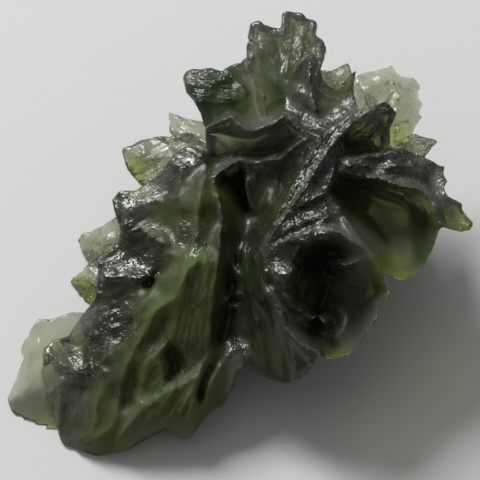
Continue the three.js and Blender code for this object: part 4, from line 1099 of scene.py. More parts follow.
@dataclass
class Block:
    """A block of cells that holds, at each, how far it is from the glass, negative inside.

    far is what it holds where there is no glass near. softness is how much soften() does, from 0 to 1.
    thin and thick are the thicknesses of a sheet at which scoops start to bite it and bite it in full.
    """

    low: Point = (-24.0, -24.0, -19.0)
    high: Point = (24.0, 24.0, 8.0)
    cell: float = 0.2
    softness: float = 0.5
    far: float = 3.0
    thin: float = 0.6
    thick: float = 3.0
    field: np.ndarray = field(init=False)

    def __post_init__(self) -> None:
        """Empties the block."""
        self.field = np.full([len(self.axis(k)) for k in range(3)], self.far, np.float32)

    def axis(self, direction: int) -> np.ndarray:
        """The cell positions along one direction."""
        count = int(round((self.high[direction] - self.low[direction]) / self.cell)) + 1
        return self.low[direction] + np.arange(count, dtype=np.float32) * self.cell

    def stride(self, grid: FaceGrid) -> int:
        """How many steps of a grid a cell spans."""
        return int(round(self.cell / grid.step))

    def join(self, sheet: Sheet, bites: dict[Side, np.ndarray] | None = None) -> None:
        """Joins a sheet to the glass that is already there.

        Args:
            sheet: the sheet.
            bites: for each side, how far its skin has been eaten back at every cell of the block.
        """
        first = [int(round((sheet.grid.low[k] - self.low[k]) / self.cell)) for k in (0, 1)]
        part = (slice(None, None, self.stride(sheet.grid)),) * 2
        whole = tuple(slice(start, start + count) for start, count in zip(first, sheet.front[part].shape))
        room = np.clip((sheet.thickness() - self.thin) / (self.thick - self.thin), 0, 1)
        gaps = [self.gap(sheet, side) for side in Side]
        if bites:
            for gap, side in zip(gaps, Side):
                gap += bites[side][whole] * room[part].astype(np.float32)[..., None]
        gaps.append(np.broadcast_to(sheet.outline[part].astype(np.float32)[..., None], gaps[0].shape))
        here = self.field[whole]
        np.minimum(here, np.maximum.reduce(gaps), out=here)

    def gap(self, sheet: Sheet, side: Side) -> np.ndarray:
        """How far each cell of a sheet's window is from one of its skins, negative behind it.

        Args:
            sheet: the sheet.
            side: which skin.

        Returns:
            The distances.
        """
        skin = sheet.front if side is Side.FRONT else sheet.back
        stride = self.stride(sheet.grid)
        steep = steepness(skin, sheet.grid)[::stride, ::stride].astype(np.float32)[..., None]
        height = skin[::stride, ::stride].astype(np.float32)[..., None]
        return side.value * (self.axis(2)[None, None, :] - height) / steep

    def cut_at_ground(self) -> None:
        """Takes off what lies under the ground."""
        up = self.axis(1)[None, :, None]
        out = self.axis(2)[None, None, :]
        height = up * LEAN_SIN + out * LEAN_COS + REST_HEIGHT
        np.maximum(self.field, -height, out=self.field)

    def soften(self) -> None:
        """Averages each cell with its neighbours, which takes the grid's steps off the crests."""
        for direction in range(3):
            inner = np.moveaxis(self.field, direction, 0)
            average = (inner[:-2] + 2 * inner[1:-1] + inner[2:]) / 4
            inner[1:-1] += self.softness * (average - inner[1:-1])

    def around(self, centre: np.ndarray, reach: float) -> tuple[tuple[slice, ...], list[np.ndarray]]:
        """The cells near a point.

        Args:
            centre: the point.
            reach: how far they go from it, each way.

        Returns:
            Their slices, and their offsets from the point along each direction.
        """
        slices, offsets = [], []
        for k in range(3):
            axis = self.axis(k)
            first, last = np.searchsorted(axis, (centre[k] - reach, centre[k] + reach))
            slices.append(slice(first, last))
            offsets.append(axis[first:last] - centre[k])
        return tuple(slices), np.meshgrid(*offsets, indexing="ij")

    def along(
        self, centre: np.ndarray, axes: np.ndarray, reach: float
    ) -> tuple[tuple[slice, ...], list[np.ndarray]]:
        """The slices of the cells near a point, and how far each is from it along three directions."""
        part, offsets = self.around(centre, reach)
        return part, [sum(a * o for a, o in zip(row, offsets)) for row in axes]

    def depth(self, points: np.ndarray) -> np.ndarray:
        """What the block holds at some points.

        Args:
            points: the points, on the face grid.

        Returns:
            The value of the cell nearest each.
        """
        cells = np.rint((points - np.array(self.low)) / self.cell).astype(int)
        cells = np.clip(cells, 0, np.array(self.field.shape) - 1)
        return self.field[tuple(cells.T)]

    def normals(self, points: np.ndarray) -> np.ndarray:
        """The outward directions of the surface.

        Args:
            points: points of the surface.

        Returns:
            The direction at each, at length 1.
        """
        slopes = []
        for k in range(3):
            shift = np.zeros(3)
            shift[k] = 2 * self.cell
            slopes.append(self.depth(points + shift) - self.depth(points - shift))
        return unit(np.stack(slopes, 1))

    def skin(self) -> tuple[np.ndarray, np.ndarray]:
        """Skins the glass.

        Returns:
            The vertices, in grid squares, and the triangles.
        """
        volume = openvdb.FloatGrid(self.far)
        volume.copyFromArray(self.field)
        points, triangles, quads = volume.convertToPolygons(0.0, 0.0)
        halves = [quads[:, (0, 1, 2)], quads[:, (0, 2, 3)]]
        return points * self.cell + np.array(self.low), np.concatenate([triangles, *halves]).astype(np.int64)


def frames_about(normals: np.ndarray, rng: np.random.Generator) -> np.ndarray:
    """Each normal and two directions square to it, turned by chance, as the rows of a matrix."""
    side = unit(np.cross(normals, rng.normal(size=normals.shape)))
    return np.stack([normals, side, np.cross(normals, side)], 1)


def spread_out(points: np.ndarray, spacing: float, limit: int, rng: np.random.Generator) -> np.ndarray:
    """Picks points that keep apart.

    Args:
        points: the choice.
        spacing: the least distance between two that are picked.
        limit: the most that are picked.
        rng: shuffles the choice.

    Returns:
        The places of the picked points in the list.
    """
    order = rng.permutation(len(points))
    free = np.ones(len(points), bool)
    picked = []
    for place in order:
        if not free[place]:
            continue
        picked.append(place)
        if len(picked) == limit:
            break
        free &= ((points - points[place]) ** 2).sum(1) > spacing**2
    return np.array(picked, int)


@dataclass(frozen=True)
class Scoops:
    """Bowls that acid has eaten, which meet in sharp crests. Lengths are grid squares.

    seed chooses where they are, and limit is the most of them. radius is their least and greatest radius,
    bite how deep they go as a share of it, stretch how much longer than wide they may be, and spacing the
    least distance between two.
    """

    seed: int
    limit: int
    radius: tuple[float, float]
    bite: tuple[float, float]
    stretch: float
    spacing: float

    def eat(self, block: Block, points: np.ndarray) -> np.ndarray:
        """Bites the scoops out of the glass.

        Args:
            block: the glass.
            points: points of its surface to choose from.

        Returns:
            How far the surface is eaten back, at every cell of the block.
        """
        rng = np.random.default_rng(self.seed)
        points = points[spread_out(points, self.spacing, self.limit, rng)]
        axes = frames_about(block.normals(points), rng)
        eaten = np.zeros_like(block.field)
        for point, directions in zip(points, axes):
            radius = rng.uniform(*self.radius)
            depth = np.float32(radius * rng.uniform(*self.bite))
            radii = radius * np.array([1, rng.uniform(1, self.stretch), 1])
            part, along = block.along(point, directions, float(radii.max()) + block.cell)
            share = sum((a / r) ** 2 for a, r in zip(along, radii)).astype(np.float32)
            np.maximum(eaten[part], depth * (1 - share), out=eaten[part])
        log.info("%d scoops", len(points))
        return eaten


@dataclass(frozen=True)
class Fins:
    """Thin pointed fins that stand out of the hidden sides and run out from the middle. In grid squares.

    seed chooses where they are, limit is the most of them, and spacing the least distance between two.
    height, length and thickness are their least and greatest half sizes, lean how far they lean outwards,
    turn how far they stray from that direction, bow how much they are bent, point how round their
    outline is, from 1 for a lozenge to 2 for an oval, and bites how many notches are eaten out of each.
    """

    seed: int
    limit: int
    spacing: float
    height: tuple[float, float] = (1.6, 3.0)
    length: tuple[float, float] = (1.8, 3.6)
    thickness: tuple[float, float] = (0.45, 0.8)
    lean: float = 0.5
    turn: float = 0.45
    bow: float = 0.12
    point: float = 1.25
    bites: int = 4
    bite: tuple[float, float] = (0.5, 1.2)

    def frames(self, points: np.ndarray, normals: np.ndarray, rng: np.random.Generator) -> np.ndarray:
        """Works out how each fin stands.

        Args:
            points: where the fins grow.
            normals: the outward direction there.
            rng: strays them.

        Returns:
            For each, its upright direction, the one that it runs in, and the one across it.
        """
        outwards = points - points.mean(0)
        outwards[:, 2] = 0
        outwards = unit(outwards)
        runs = outwards + rng.normal(scale=self.turn, size=points.shape)
        upright = unit(normals + self.lean * outwards)
        sideways = unit(np.cross(upright, runs))
        return np.stack([upright, np.cross(sideways, upright), sideways], 1)

    def grow(self, block: Block, points: np.ndarray) -> np.ndarray:
        """Makes the fins.

        Args:
            block: the glass.
            points: points of its surface to choose from.

        Returns:
            How far each cell of the block is from a fin, negative inside.
        """
        rng = np.random.default_rng(self.seed)
        points = points[spread_out(points, self.spacing, self.limit, rng)]
        fins = np.full_like(block.field, block.far)
        for point, axes in zip(points, self.frames(points, block.normals(points), rng)):
            sizes = [rng.uniform(*size) for size in (self.height, self.length, self.thickness)]
            part, places = block.along(point, axes, max(sizes[:2]) + block.cell)
            fin = self.fin(sizes, places, rng)
            np.minimum(fins[part], fin.astype(np.float32), out=fins[part])
        log.info("%d fins", len(points))
        return fins

    def fin(self, sizes: list[float], places: list[np.ndarray], rng: np.random.Generator) -> np.ndarray:
        """Makes one fin.

        Args:
            sizes: its half height, length and thickness.
            places: how far each cell is from its middle, along its height, its length and across it.
            rng: bends it, and chooses its bites.

        Returns:
            How far each cell is from it, negative inside.
        """
        height, length, thickness = sizes
        high, far, aside = places
        bow = rng.uniform(-self.bow, self.bow)
        flat = np.abs(high / height) ** self.point + np.abs(far / length) ** self.point
        bent = np.abs(aside + bow * (high * high + far * far)) / thickness
        fin = (flat ** (1 / self.point) + bent - 1) * thickness
        for _ in range(self.bites):
            way = rng.uniform(0, math.pi)
            radius = rng.uniform(*self.bite)
            up, out = math.sin(way) * height, math.cos(way) * length
            bitten = radius - np.sqrt((high - up) ** 2 + (far - out) ** 2 + (aside / 2) ** 2)
            fin = np.maximum(fin, bitten)
        return fin


def body_direction(vectors: np.ndarray) -> np.ndarray:
    """Turns directions on the face grid (across, up, out) into the stone's own x, y and z."""
    across, up, out = vectors.T
    return np.stack([across, up * LEAN_COS - out * LEAN_SIN, up * LEAN_SIN + out * LEAN_COS], 1)


@dataclass(frozen=True)
class Placing:
    """Where the drawing stands: its origin, in metres, in the stone's own frame."""

    origin: np.ndarray

    @classmethod
    def centred(cls, points: np.ndarray) -> "Placing":
        """Places the drawing so that its box is centred on the frame's box.

        Args:
            points: the stone's points on the face grid.

        Returns:
            The placing.
        """
        spread = body_direction(points) * SQUARE
        low, high = (np.array(corner) for corner in cad_box)
        middle = (low + high)[:2] / 2 - (spread.min(0) + spread.max(0))[:2] / 2
        return cls(np.array([*middle, REST_HEIGHT * SQUARE]))

    def place(self, points: np.ndarray) -> np.ndarray:
        """Moves points of the face grid to the stone's own frame, in metres."""
        return body_direction(points) * SQUARE + self.origin

    def back(self, points: np.ndarray) -> np.ndarray:
        """Moves points of the stone's own frame, in metres, to the face grid."""
        x, y, z = ((points - self.origin) / SQUARE).T
        return np.stack([x, y * LEAN_COS + z * LEAN_SIN, z * LEAN_COS - y * LEAN_SIN], 1)


def largest_piece(points: np.ndarray, triangles: np.ndarray) -> tuple[np.ndarray, np.ndarray]:
    """Keeps the largest connected piece of a mesh.

    Args:
        points: its vertices.
        triangles: its triangles.

    Returns:
        The vertices and triangles of that piece.
    """
    label = np.arange(len(points))
    edges = np.concatenate([triangles[:, :2], triangles[:, 1:]])
    while True:
        least = np.minimum(label[edges[:, 0]], label[edges[:, 1]])
        merged = label.copy()
        np.minimum.at(merged, label[edges[:, 0]], least)
        np.minimum.at(merged, label[edges[:, 1]], least)
        merged = merged[merged]
        if (merged == label).all():
            break
        label = merged
    main = np.bincount(label).argmax()
    kept = label == main
    renumber = np.cumsum(kept) - 1
    return points[kept], renumber[triangles[kept[triangles[:, 0]]]]


def signed_volume(points: np.ndarray, triangles: np.ndarray) -> float:
    """The volume inside a closed mesh, negative when its faces point inwards."""
    a, b, c = (points[triangles[:, k]] for k in range(3))
    return float((a * np.cross(b, c)).sum() / 6)


def convexity(mesh: bpy.types.Mesh, points: np.ndarray, rounds: int) -> np.ndarray:
    """How far each vertex stands out from its neighbours, for crests and scoops.

    Args:
        mesh: the mesh.
        points: its vertices.
        rounds: how many times the neighbourhood is widened.

    Returns:
        The distance along the normal, positive on a crest.
    """
    edges = np.zeros(len(mesh.edges) * 2, np.int32)
    mesh.edges.foreach_get("vertices", edges)
    edges = edges.reshape(-1, 2)
    count = np.bincount(edges.ravel(), minlength=len(points))[:, None]
    normals = np.zeros(len(points) * 3, np.float32)
    mesh.vertex_normals.foreach_get("vector", normals)
    mean = points
    for _ in range(rounds):
        total = np.zeros_like(points)
        for k in range(3):
            total[:, k] += np.bincount(edges[:, 0], mean[edges[:, 1], k], len(points))
            total[:, k] += np.bincount(edges[:, 1], mean[edges[:, 0], k], len(points))
        mean = total / np.maximum(count, 1)
    return ((points - mean) * normals.reshape(-1, 3)).sum(1)


@dataclass(frozen=True)
class Grain:
    """One kind of fine relief.

    scale and detail are those of its noise, strength is how much it bends the light, and depth how deep
    it is, in metres.
    """

    scale: float
    detail: float
    strength: float
    depth: float


class Recipe:
    """Adds nodes to a tree and joins them, so that a finish reads as a recipe."""

    def __init__(self, tree: bpy.types.NodeTree) -> None:
        """Takes an empty tree."""
        self.tree = tree

    def add(
        self, kind: str, inputs: dict[str | int, Input] | None = None, **settings: str
    ) -> bpy.types.Node:
        """Adds a node.

        Args:
            kind: its type.
            inputs: values or sockets for its inputs, by name or number.
            settings: its own properties.

        Returns:
            The node.
        """
        node = self.tree.nodes.new(kind)
        for name, value in settings.items():
            setattr(node, name, value)
        for name, value in (inputs or {}).items():
            if isinstance(value, bpy.types.NodeSocket):
                self.tree.links.new(value, node.inputs[name])
            else:
                node.inputs[name].default_value = value
        return node

    def maths(self, operation: str, *values: Value) -> Socket:
        """One sum on one or two numbers."""
        return self.add("ShaderNodeMath", dict(enumerate(values)), operation=operation).outputs[0]

    def spread(
        self, value: Value, low: float, high: float, to_low: float = 0.0, to_high: float = 1.0
    ) -> Socket:
        """Spreads a value from one range, cut off at its ends, over another, such as from 0 to 1."""
        inputs = {0: value, 1: low, 2: high, 3: to_low, 4: to_high}
        return self.add("ShaderNodeMapRange", inputs).outputs[0]

    def between(self, share: Socket, first: Value, second: Value) -> Socket:
        """A number between two others: the first where share is 0, and the second where it is 1."""
        return self.add("ShaderNodeMix", {0: share, 2: first, 3: second}, data_type="FLOAT").outputs[0]

    def blend(self, share: Socket, first: Tint, second: Tint) -> Socket:
        """A colour between two others: the first where share is 0, and the second where it is 1."""
        return self.add("ShaderNodeMix", {0: share, 6: first, 7: second}, data_type="RGBA").outputs[2]

    def noise(self, place: Socket, scale: float, detail: float) -> Socket:
        """A noise that is laid out over a place."""
        inputs = {"Vector": place, "Scale": scale, "Detail": detail}
        return self.add("ShaderNodeTexNoise", inputs).outputs["Fac"]

    def attribute(self, name: str, output: str = "Fac") -> Socket:
        """What the mesh holds under a name."""
        return self.add("ShaderNodeAttribute", attribute_name=name).outputs[output]

    def bump(self, grain: Grain, height: Socket, normal: Socket | None = None) -> Socket:
        """Bends the normal by a height.

        Args:
            grain: how much, and how deep the height goes.
            height: the height.
            normal: the normal that is bent, if it isn't the surface's own.

        Returns:
            The bent normal.
        """
        inputs = {"Strength": grain.strength, "Distance": grain.depth, "Height": height}
        if normal is not None:
            inputs["Normal"] = normal
        return self.add("ShaderNodeBump", inputs).outputs[0]


@dataclass(frozen=True)
class Etching:
    """Fine relief that weather leaves on etched glass, in Geometry Nodes. Sizes are metres.

    pit_depth is how deep the pits go where the glass is frosted, pit_width how far apart they are, and
    pit_level the noise that stays level. rib_depth is how high the ribs stand where it is streaked: each
    runs where a noise of rib_scale is within rib_width of rib_level.
    """

    pit_depth: float = 0.00011
    pit_width: float = 0.0016
    pit_level: float = 0.8
    pit_detail: float = 3.0
    pit_distortion: float = 0.6
    rib_depth: float = 0.0008
    rib_scale: float = 0.8
    rib_width: float = 0.1
    rib_level: float = 0.5
    seed: float = 3.0

    def tree(self) -> bpy.types.NodeTree:
        """Builds the node tree.

        Returns:
            The tree, with the glass and the main sizes as its inputs.
        """
        tree = bpy.data.node_groups.new("etching", "GeometryNodeTree")
        face = tree.interface
        face.new_socket("Geometry", in_out="INPUT", socket_type="NodeSocketGeometry")
        for name in ("Pit Depth", "Pit Width", "Rib Depth", "Seed"):
            face.new_socket(name, in_out="INPUT", socket_type="NodeSocketFloat")
        face.new_socket("Glass", in_out="INPUT", socket_type="NodeSocketMaterial")
        face.new_socket("Geometry", in_out="OUTPUT", socket_type="NodeSocketGeometry")
        recipe = Recipe(tree)
        given = recipe.add("NodeGroupInput").outputs
        frost = recipe.add("GeometryNodeInputNamedAttribute", {"Name": "frost"}, data_type="FLOAT")
        scale = recipe.maths("DIVIDE", 1.0, given["Pit Width"])
        place = recipe.add("GeometryNodeInputPosition").outputs[0]
        ridges = recipe.add(
            "ShaderNodeTexNoise",
            {
                "Vector": place,
                "W": given["Seed"],
                "Scale": scale,
                "Detail": self.pit_detail,
                "Distortion": self.pit_distortion,
            },
            noise_dimensions="4D",
            noise_type="RIDGED_MULTIFRACTAL",
        )
        relief = recipe.maths("SUBTRACT", ridges.outputs["Fac"], self.pit_level)
        depth = recipe.maths("MULTIPLY", given["Pit Depth"], frost.outputs["Attribute"])
        flow = recipe.add("GeometryNodeInputNamedAttribute", {"Name": "flow"}, data_type="FLOAT_VECTOR")
        streak = recipe.add("GeometryNodeInputNamedAttribute", {"Name": "streak"}, data_type="FLOAT")
        ribs = recipe.noise(flow.outputs["Attribute"], self.rib_scale, 1.0)
        rib_depth = recipe.maths("MULTIPLY", given["Rib Depth"], streak.outputs["Attribute"])
        beside = recipe.maths("ABSOLUTE", recipe.maths("SUBTRACT", ribs, self.rib_level))
        rib = recipe.maths("MULTIPLY", recipe.maths("SUBTRACT", self.rib_width, beside), rib_depth)
        height = recipe.maths("ADD", recipe.maths("MULTIPLY", relief, depth), rib)
        normal = recipe.add("GeometryNodeInputNormal").outputs[0]
        offset = recipe.add("ShaderNodeVectorMath", {0: normal, "Scale": height}, operation="SCALE")
        inputs = {"Geometry": given["Geometry"], "Offset": offset.outputs[0]}
        moved = recipe.add("GeometryNodeSetPosition", inputs)
        real = recipe.add("GeometryNodeRealizeInstances", {0: moved.outputs[0]})
        dressed = recipe.add("GeometryNodeSetMaterial", {0: real.outputs[0], "Material": given["Glass"]})
        recipe.add("NodeGroupOutput", {0: dressed.outputs[0]})
        return tree

    def apply(self, piece: bpy.types.Object, glass: bpy.types.Material) -> None:
        """Etches a piece and gives it its glass.

        Args:
            piece: the piece, with its frost, streak and flow attributes.
            glass: its material.
        """
        tree = self.tree()
        modifier = piece.modifiers.new("etching", "NODES")
        modifier.node_group = tree
        values = {
            "Pit Depth": self.pit_depth,
            "Pit Width": self.pit_width,
            "Rib Depth": self.rib_depth,
            "Seed": self.seed,
            "Glass": glass,
        }
        for item in tree.interface.items_tree:
            if item.item_type == "SOCKET" and item.in_out == "INPUT" and item.name in values:
                modifier[item.identifier] = values[item.name]
        bake_modifiers(piece)


def bake_modifiers(piece: bpy.types.Object) -> None:
    """Replaces a piece's mesh by what its modifiers make, and removes them.

    Args:
        piece: the piece.
    """
    graph = bpy.context.evaluated_depsgraph_get()
    made = bpy.data.meshes.new_from_object(piece.evaluated_get(graph), depsgraph=graph)
    piece.modifiers.clear()
    piece.data = made


@dataclass(frozen=True)
class MoldaviteGlass:
    """Bottle-green natural glass, clear where thin and nearly black where thick.

    absorption is the share of each colour that stays in, and density how strongly, per metre. The tints
    of petals and of the dark body colour the skin, which scatters a little light. An olive tint on raised
    satin folds and thin walls is painted light, and a lime tint on edges is a painted glow where light
    comes through; reflections on the olive parts are tinted in olive_glint, a painted sheen. Petals are
    clear_roughness rough, the thick body body_roughness, its satin folds satin_roughness, and frosted
    patches sparkle_roughness, which varies by sparkle_spread from place to place. Frosted patches also
    have a thin coat that shines like silver, as strong as silver says.

    A noise, the cloud, makes the edges of patches ragged: where it goes through cloud_range, frost_ragged
    and dark_ragged are how far it moves them. Glass is frosted in full from frost_range on. Crests are
    worn, up to crest_wear, from crest_range on. The grain of etched glass fades to least_grain elsewhere.
    """

    ior: float = 1.49
    absorption: tuple[float, float, float] = (0.26, 0.35, 0.03)
    density: float = 1050.0
    clear_tint: tuple[float, float, float] = (0.80, 0.82, 0.70)
    dark_tint: tuple[float, float, float] = (0.13, 0.20, 0.06)
    # The colour of the painted olive light on raised folds and thin walls.
    olive_light_tint: tuple[float, float, float] = (0.68, 0.90, 0.27)
    # The colour of the painted lime glow on edges.
    lime_glow_tint: tuple[float, float, float] = (0.90, 0.97, 0.36)
    # The tint of the painted olive sheen in reflections on those parts.
    olive_glint: tuple[float, float, float] = (0.66, 0.79, 0.46)
    transmission: float = 0.89
    clear_roughness: float = 0.16
    body_roughness: float = 0.32
    satin_roughness: float = 0.60
    sparkle_roughness: float = 0.25
    sparkle_spread: tuple[float, float] = (0.7, 1.5)
    sparkle_range: tuple[float, float] = (0.35, 0.65)
    silver: float = 0.4
    silver_roughness: float = 0.26
    silver_ior: float = 1.8
    cloud_scale: float = 900.0
    cloud_detail: float = 4.0
    cloud_range: tuple[float, float] = (0.3, 0.7)
    frost_ragged: float = 0.5
    frost_range: tuple[float, float] = (0.4, 0.65)
    dark_ragged: float = 0.15
    crest_range: tuple[float, float] = (0.25, 0.9)
    crest_wear: float = 0.6
    least_grain: float = 0.10
    swell: Grain = Grain(scale=700.0, detail=3.0, strength=0.35, depth=0.00012)
    combing: Grain = Grain(scale=1.0, detail=3.0, strength=0.9, depth=0.0003)
    crinkle: Grain = Grain(scale=2800.0, detail=5.0, strength=0.58, depth=0.0002)
    crinkle_roughness: float = 0.6
    crinkle_distortion: float = 0.8

    def make(self) -> bpy.types.Material:
        """Builds the material.

        Returns:
            The glass.
        """
        material = bpy.data.materials.new("moldavite_glass")
        material.use_nodes = True
        tree = material.node_tree
        tree.nodes.clear()
        recipe = Recipe(tree)
        place = recipe.add("ShaderNodeTexCoord").outputs["Object"]
        names = ("frost", "crest", "deep", "satin", "olive_light", "lime_glow")
        frost, crest, deep, satin, olive_light, lime_glow = (recipe.attribute(name) for name in names)
        cloud = recipe.noise(place, self.cloud_scale, self.cloud_detail)
        frosted = recipe.spread(self.ragged(recipe, frost, cloud, self.frost_ragged), *self.frost_range)
        worn = recipe.spread(crest, *self.crest_range, 0.0, self.crest_wear)
        bump = self.relief(recipe, place, recipe.maths("MAXIMUM", frosted, worn))
        # Raised satin folds and thin walls take an olive tint: painted light.
        body = recipe.blend(olive_light, (*self.dark_tint, 1), (*self.olive_light_tint, 1))
        # Lime edges: a painted glow, where light comes through.
        petal = recipe.blend(lime_glow, (*self.clear_tint, 1), (*self.lime_glow_tint, 1))
        thick = recipe.spread(self.ragged(recipe, deep, cloud, self.dark_ragged), 0.0, 1.0)
        glass = recipe.add(
            "ShaderNodeBsdfPrincipled",
            {
                "Base Color": recipe.blend(thick, petal, body),
                "Roughness": self.roughness(recipe, deep, satin, frosted, cloud),
                "IOR": self.ior,
                "Transmission Weight": self.transmission,
                # Reflections on the painted olive parts are tinted olive: a painted sheen.
                "Specular Tint": recipe.blend(olive_light, (1, 1, 1, 1), (*self.olive_glint, 1)),
                "Normal": bump,
                "Coat Weight": recipe.maths("MULTIPLY", frosted, self.silver),
                "Coat Roughness": self.silver_roughness,
                "Coat IOR": self.silver_ior,
                "Coat Normal": bump,
            },
        )
        inputs = {"Color": (*self.absorption, 1), "Density": self.density}
        inside = recipe.add("ShaderNodeVolumeAbsorption", inputs)
        recipe.add("ShaderNodeOutputMaterial", {"Surface": glass.outputs[0], "Volume": inside.outputs[0]})
        return material

    def ragged(self, recipe: Recipe, patch: Socket, cloud: Socket, by: float) -> Socket:
        """A patch whose edge the cloud moves to and fro."""
        return recipe.maths("ADD", patch, recipe.spread(cloud, *self.cloud_range, -by, by))

    def roughness(
        self, recipe: Recipe, deep: Socket, satin: Socket, frosted: Socket, cloud: Socket
    ) -> Socket:
        """How rough the glass is.

        Args:
            recipe: the tree.
            deep: how thick the glass is.
            satin: how much of it is satin.
            frosted: how frosted it is.
            cloud: the noise that varies the frosted patches.

        Returns:
            The roughness.
        """
        glossy = recipe.spread(deep, 0.0, 1.0, self.clear_roughness, self.body_roughness)
        smooth = recipe.between(satin, glossy, self.satin_roughness)
        least, most = (self.sparkle_roughness * spread for spread in self.sparkle_spread)
        return recipe.between(frosted, smooth, recipe.spread(cloud, *self.sparkle_range, least, most))

    def relief(self, recipe: Recipe, place: Socket, etched: Socket) -> Socket:
        """The fine relief: slow waves, streaks along the flow of the glass, and grain where it is etched.

        Args:
            recipe: the tree.
            place: where a point is.
            etched: how strongly it is etched.

        Returns:
            The bent normal.
        """
        waves = recipe.bump(self.swell, recipe.noise(place, self.swell.scale, self.swell.detail))
        lines = recipe.noise(recipe.attribute("flow", "Vector"), self.combing.scale, self.combing.detail)
        streaks = recipe.maths("MULTIPLY", lines, recipe.attribute("streak"))
        combed = recipe.bump(self.combing, streaks, waves)
        crinkle = recipe.add(
            "ShaderNodeTexNoise",
            {
                "Vector": place,
                "Scale": self.crinkle.scale,
                "Detail": self.crinkle.detail,
                "Roughness": self.crinkle_roughness,
                "Distortion": self.crinkle_distortion,
            },
            noise_type="RIDGED_MULTIFRACTAL",
        )
        grain = recipe.spread(etched, 0.0, 1.0, self.least_grain, 1.0)
        pits = recipe.maths("MULTIPLY", crinkle.outputs["Fac"], grain)
        return recipe.bump(self.crinkle, pits, combed)


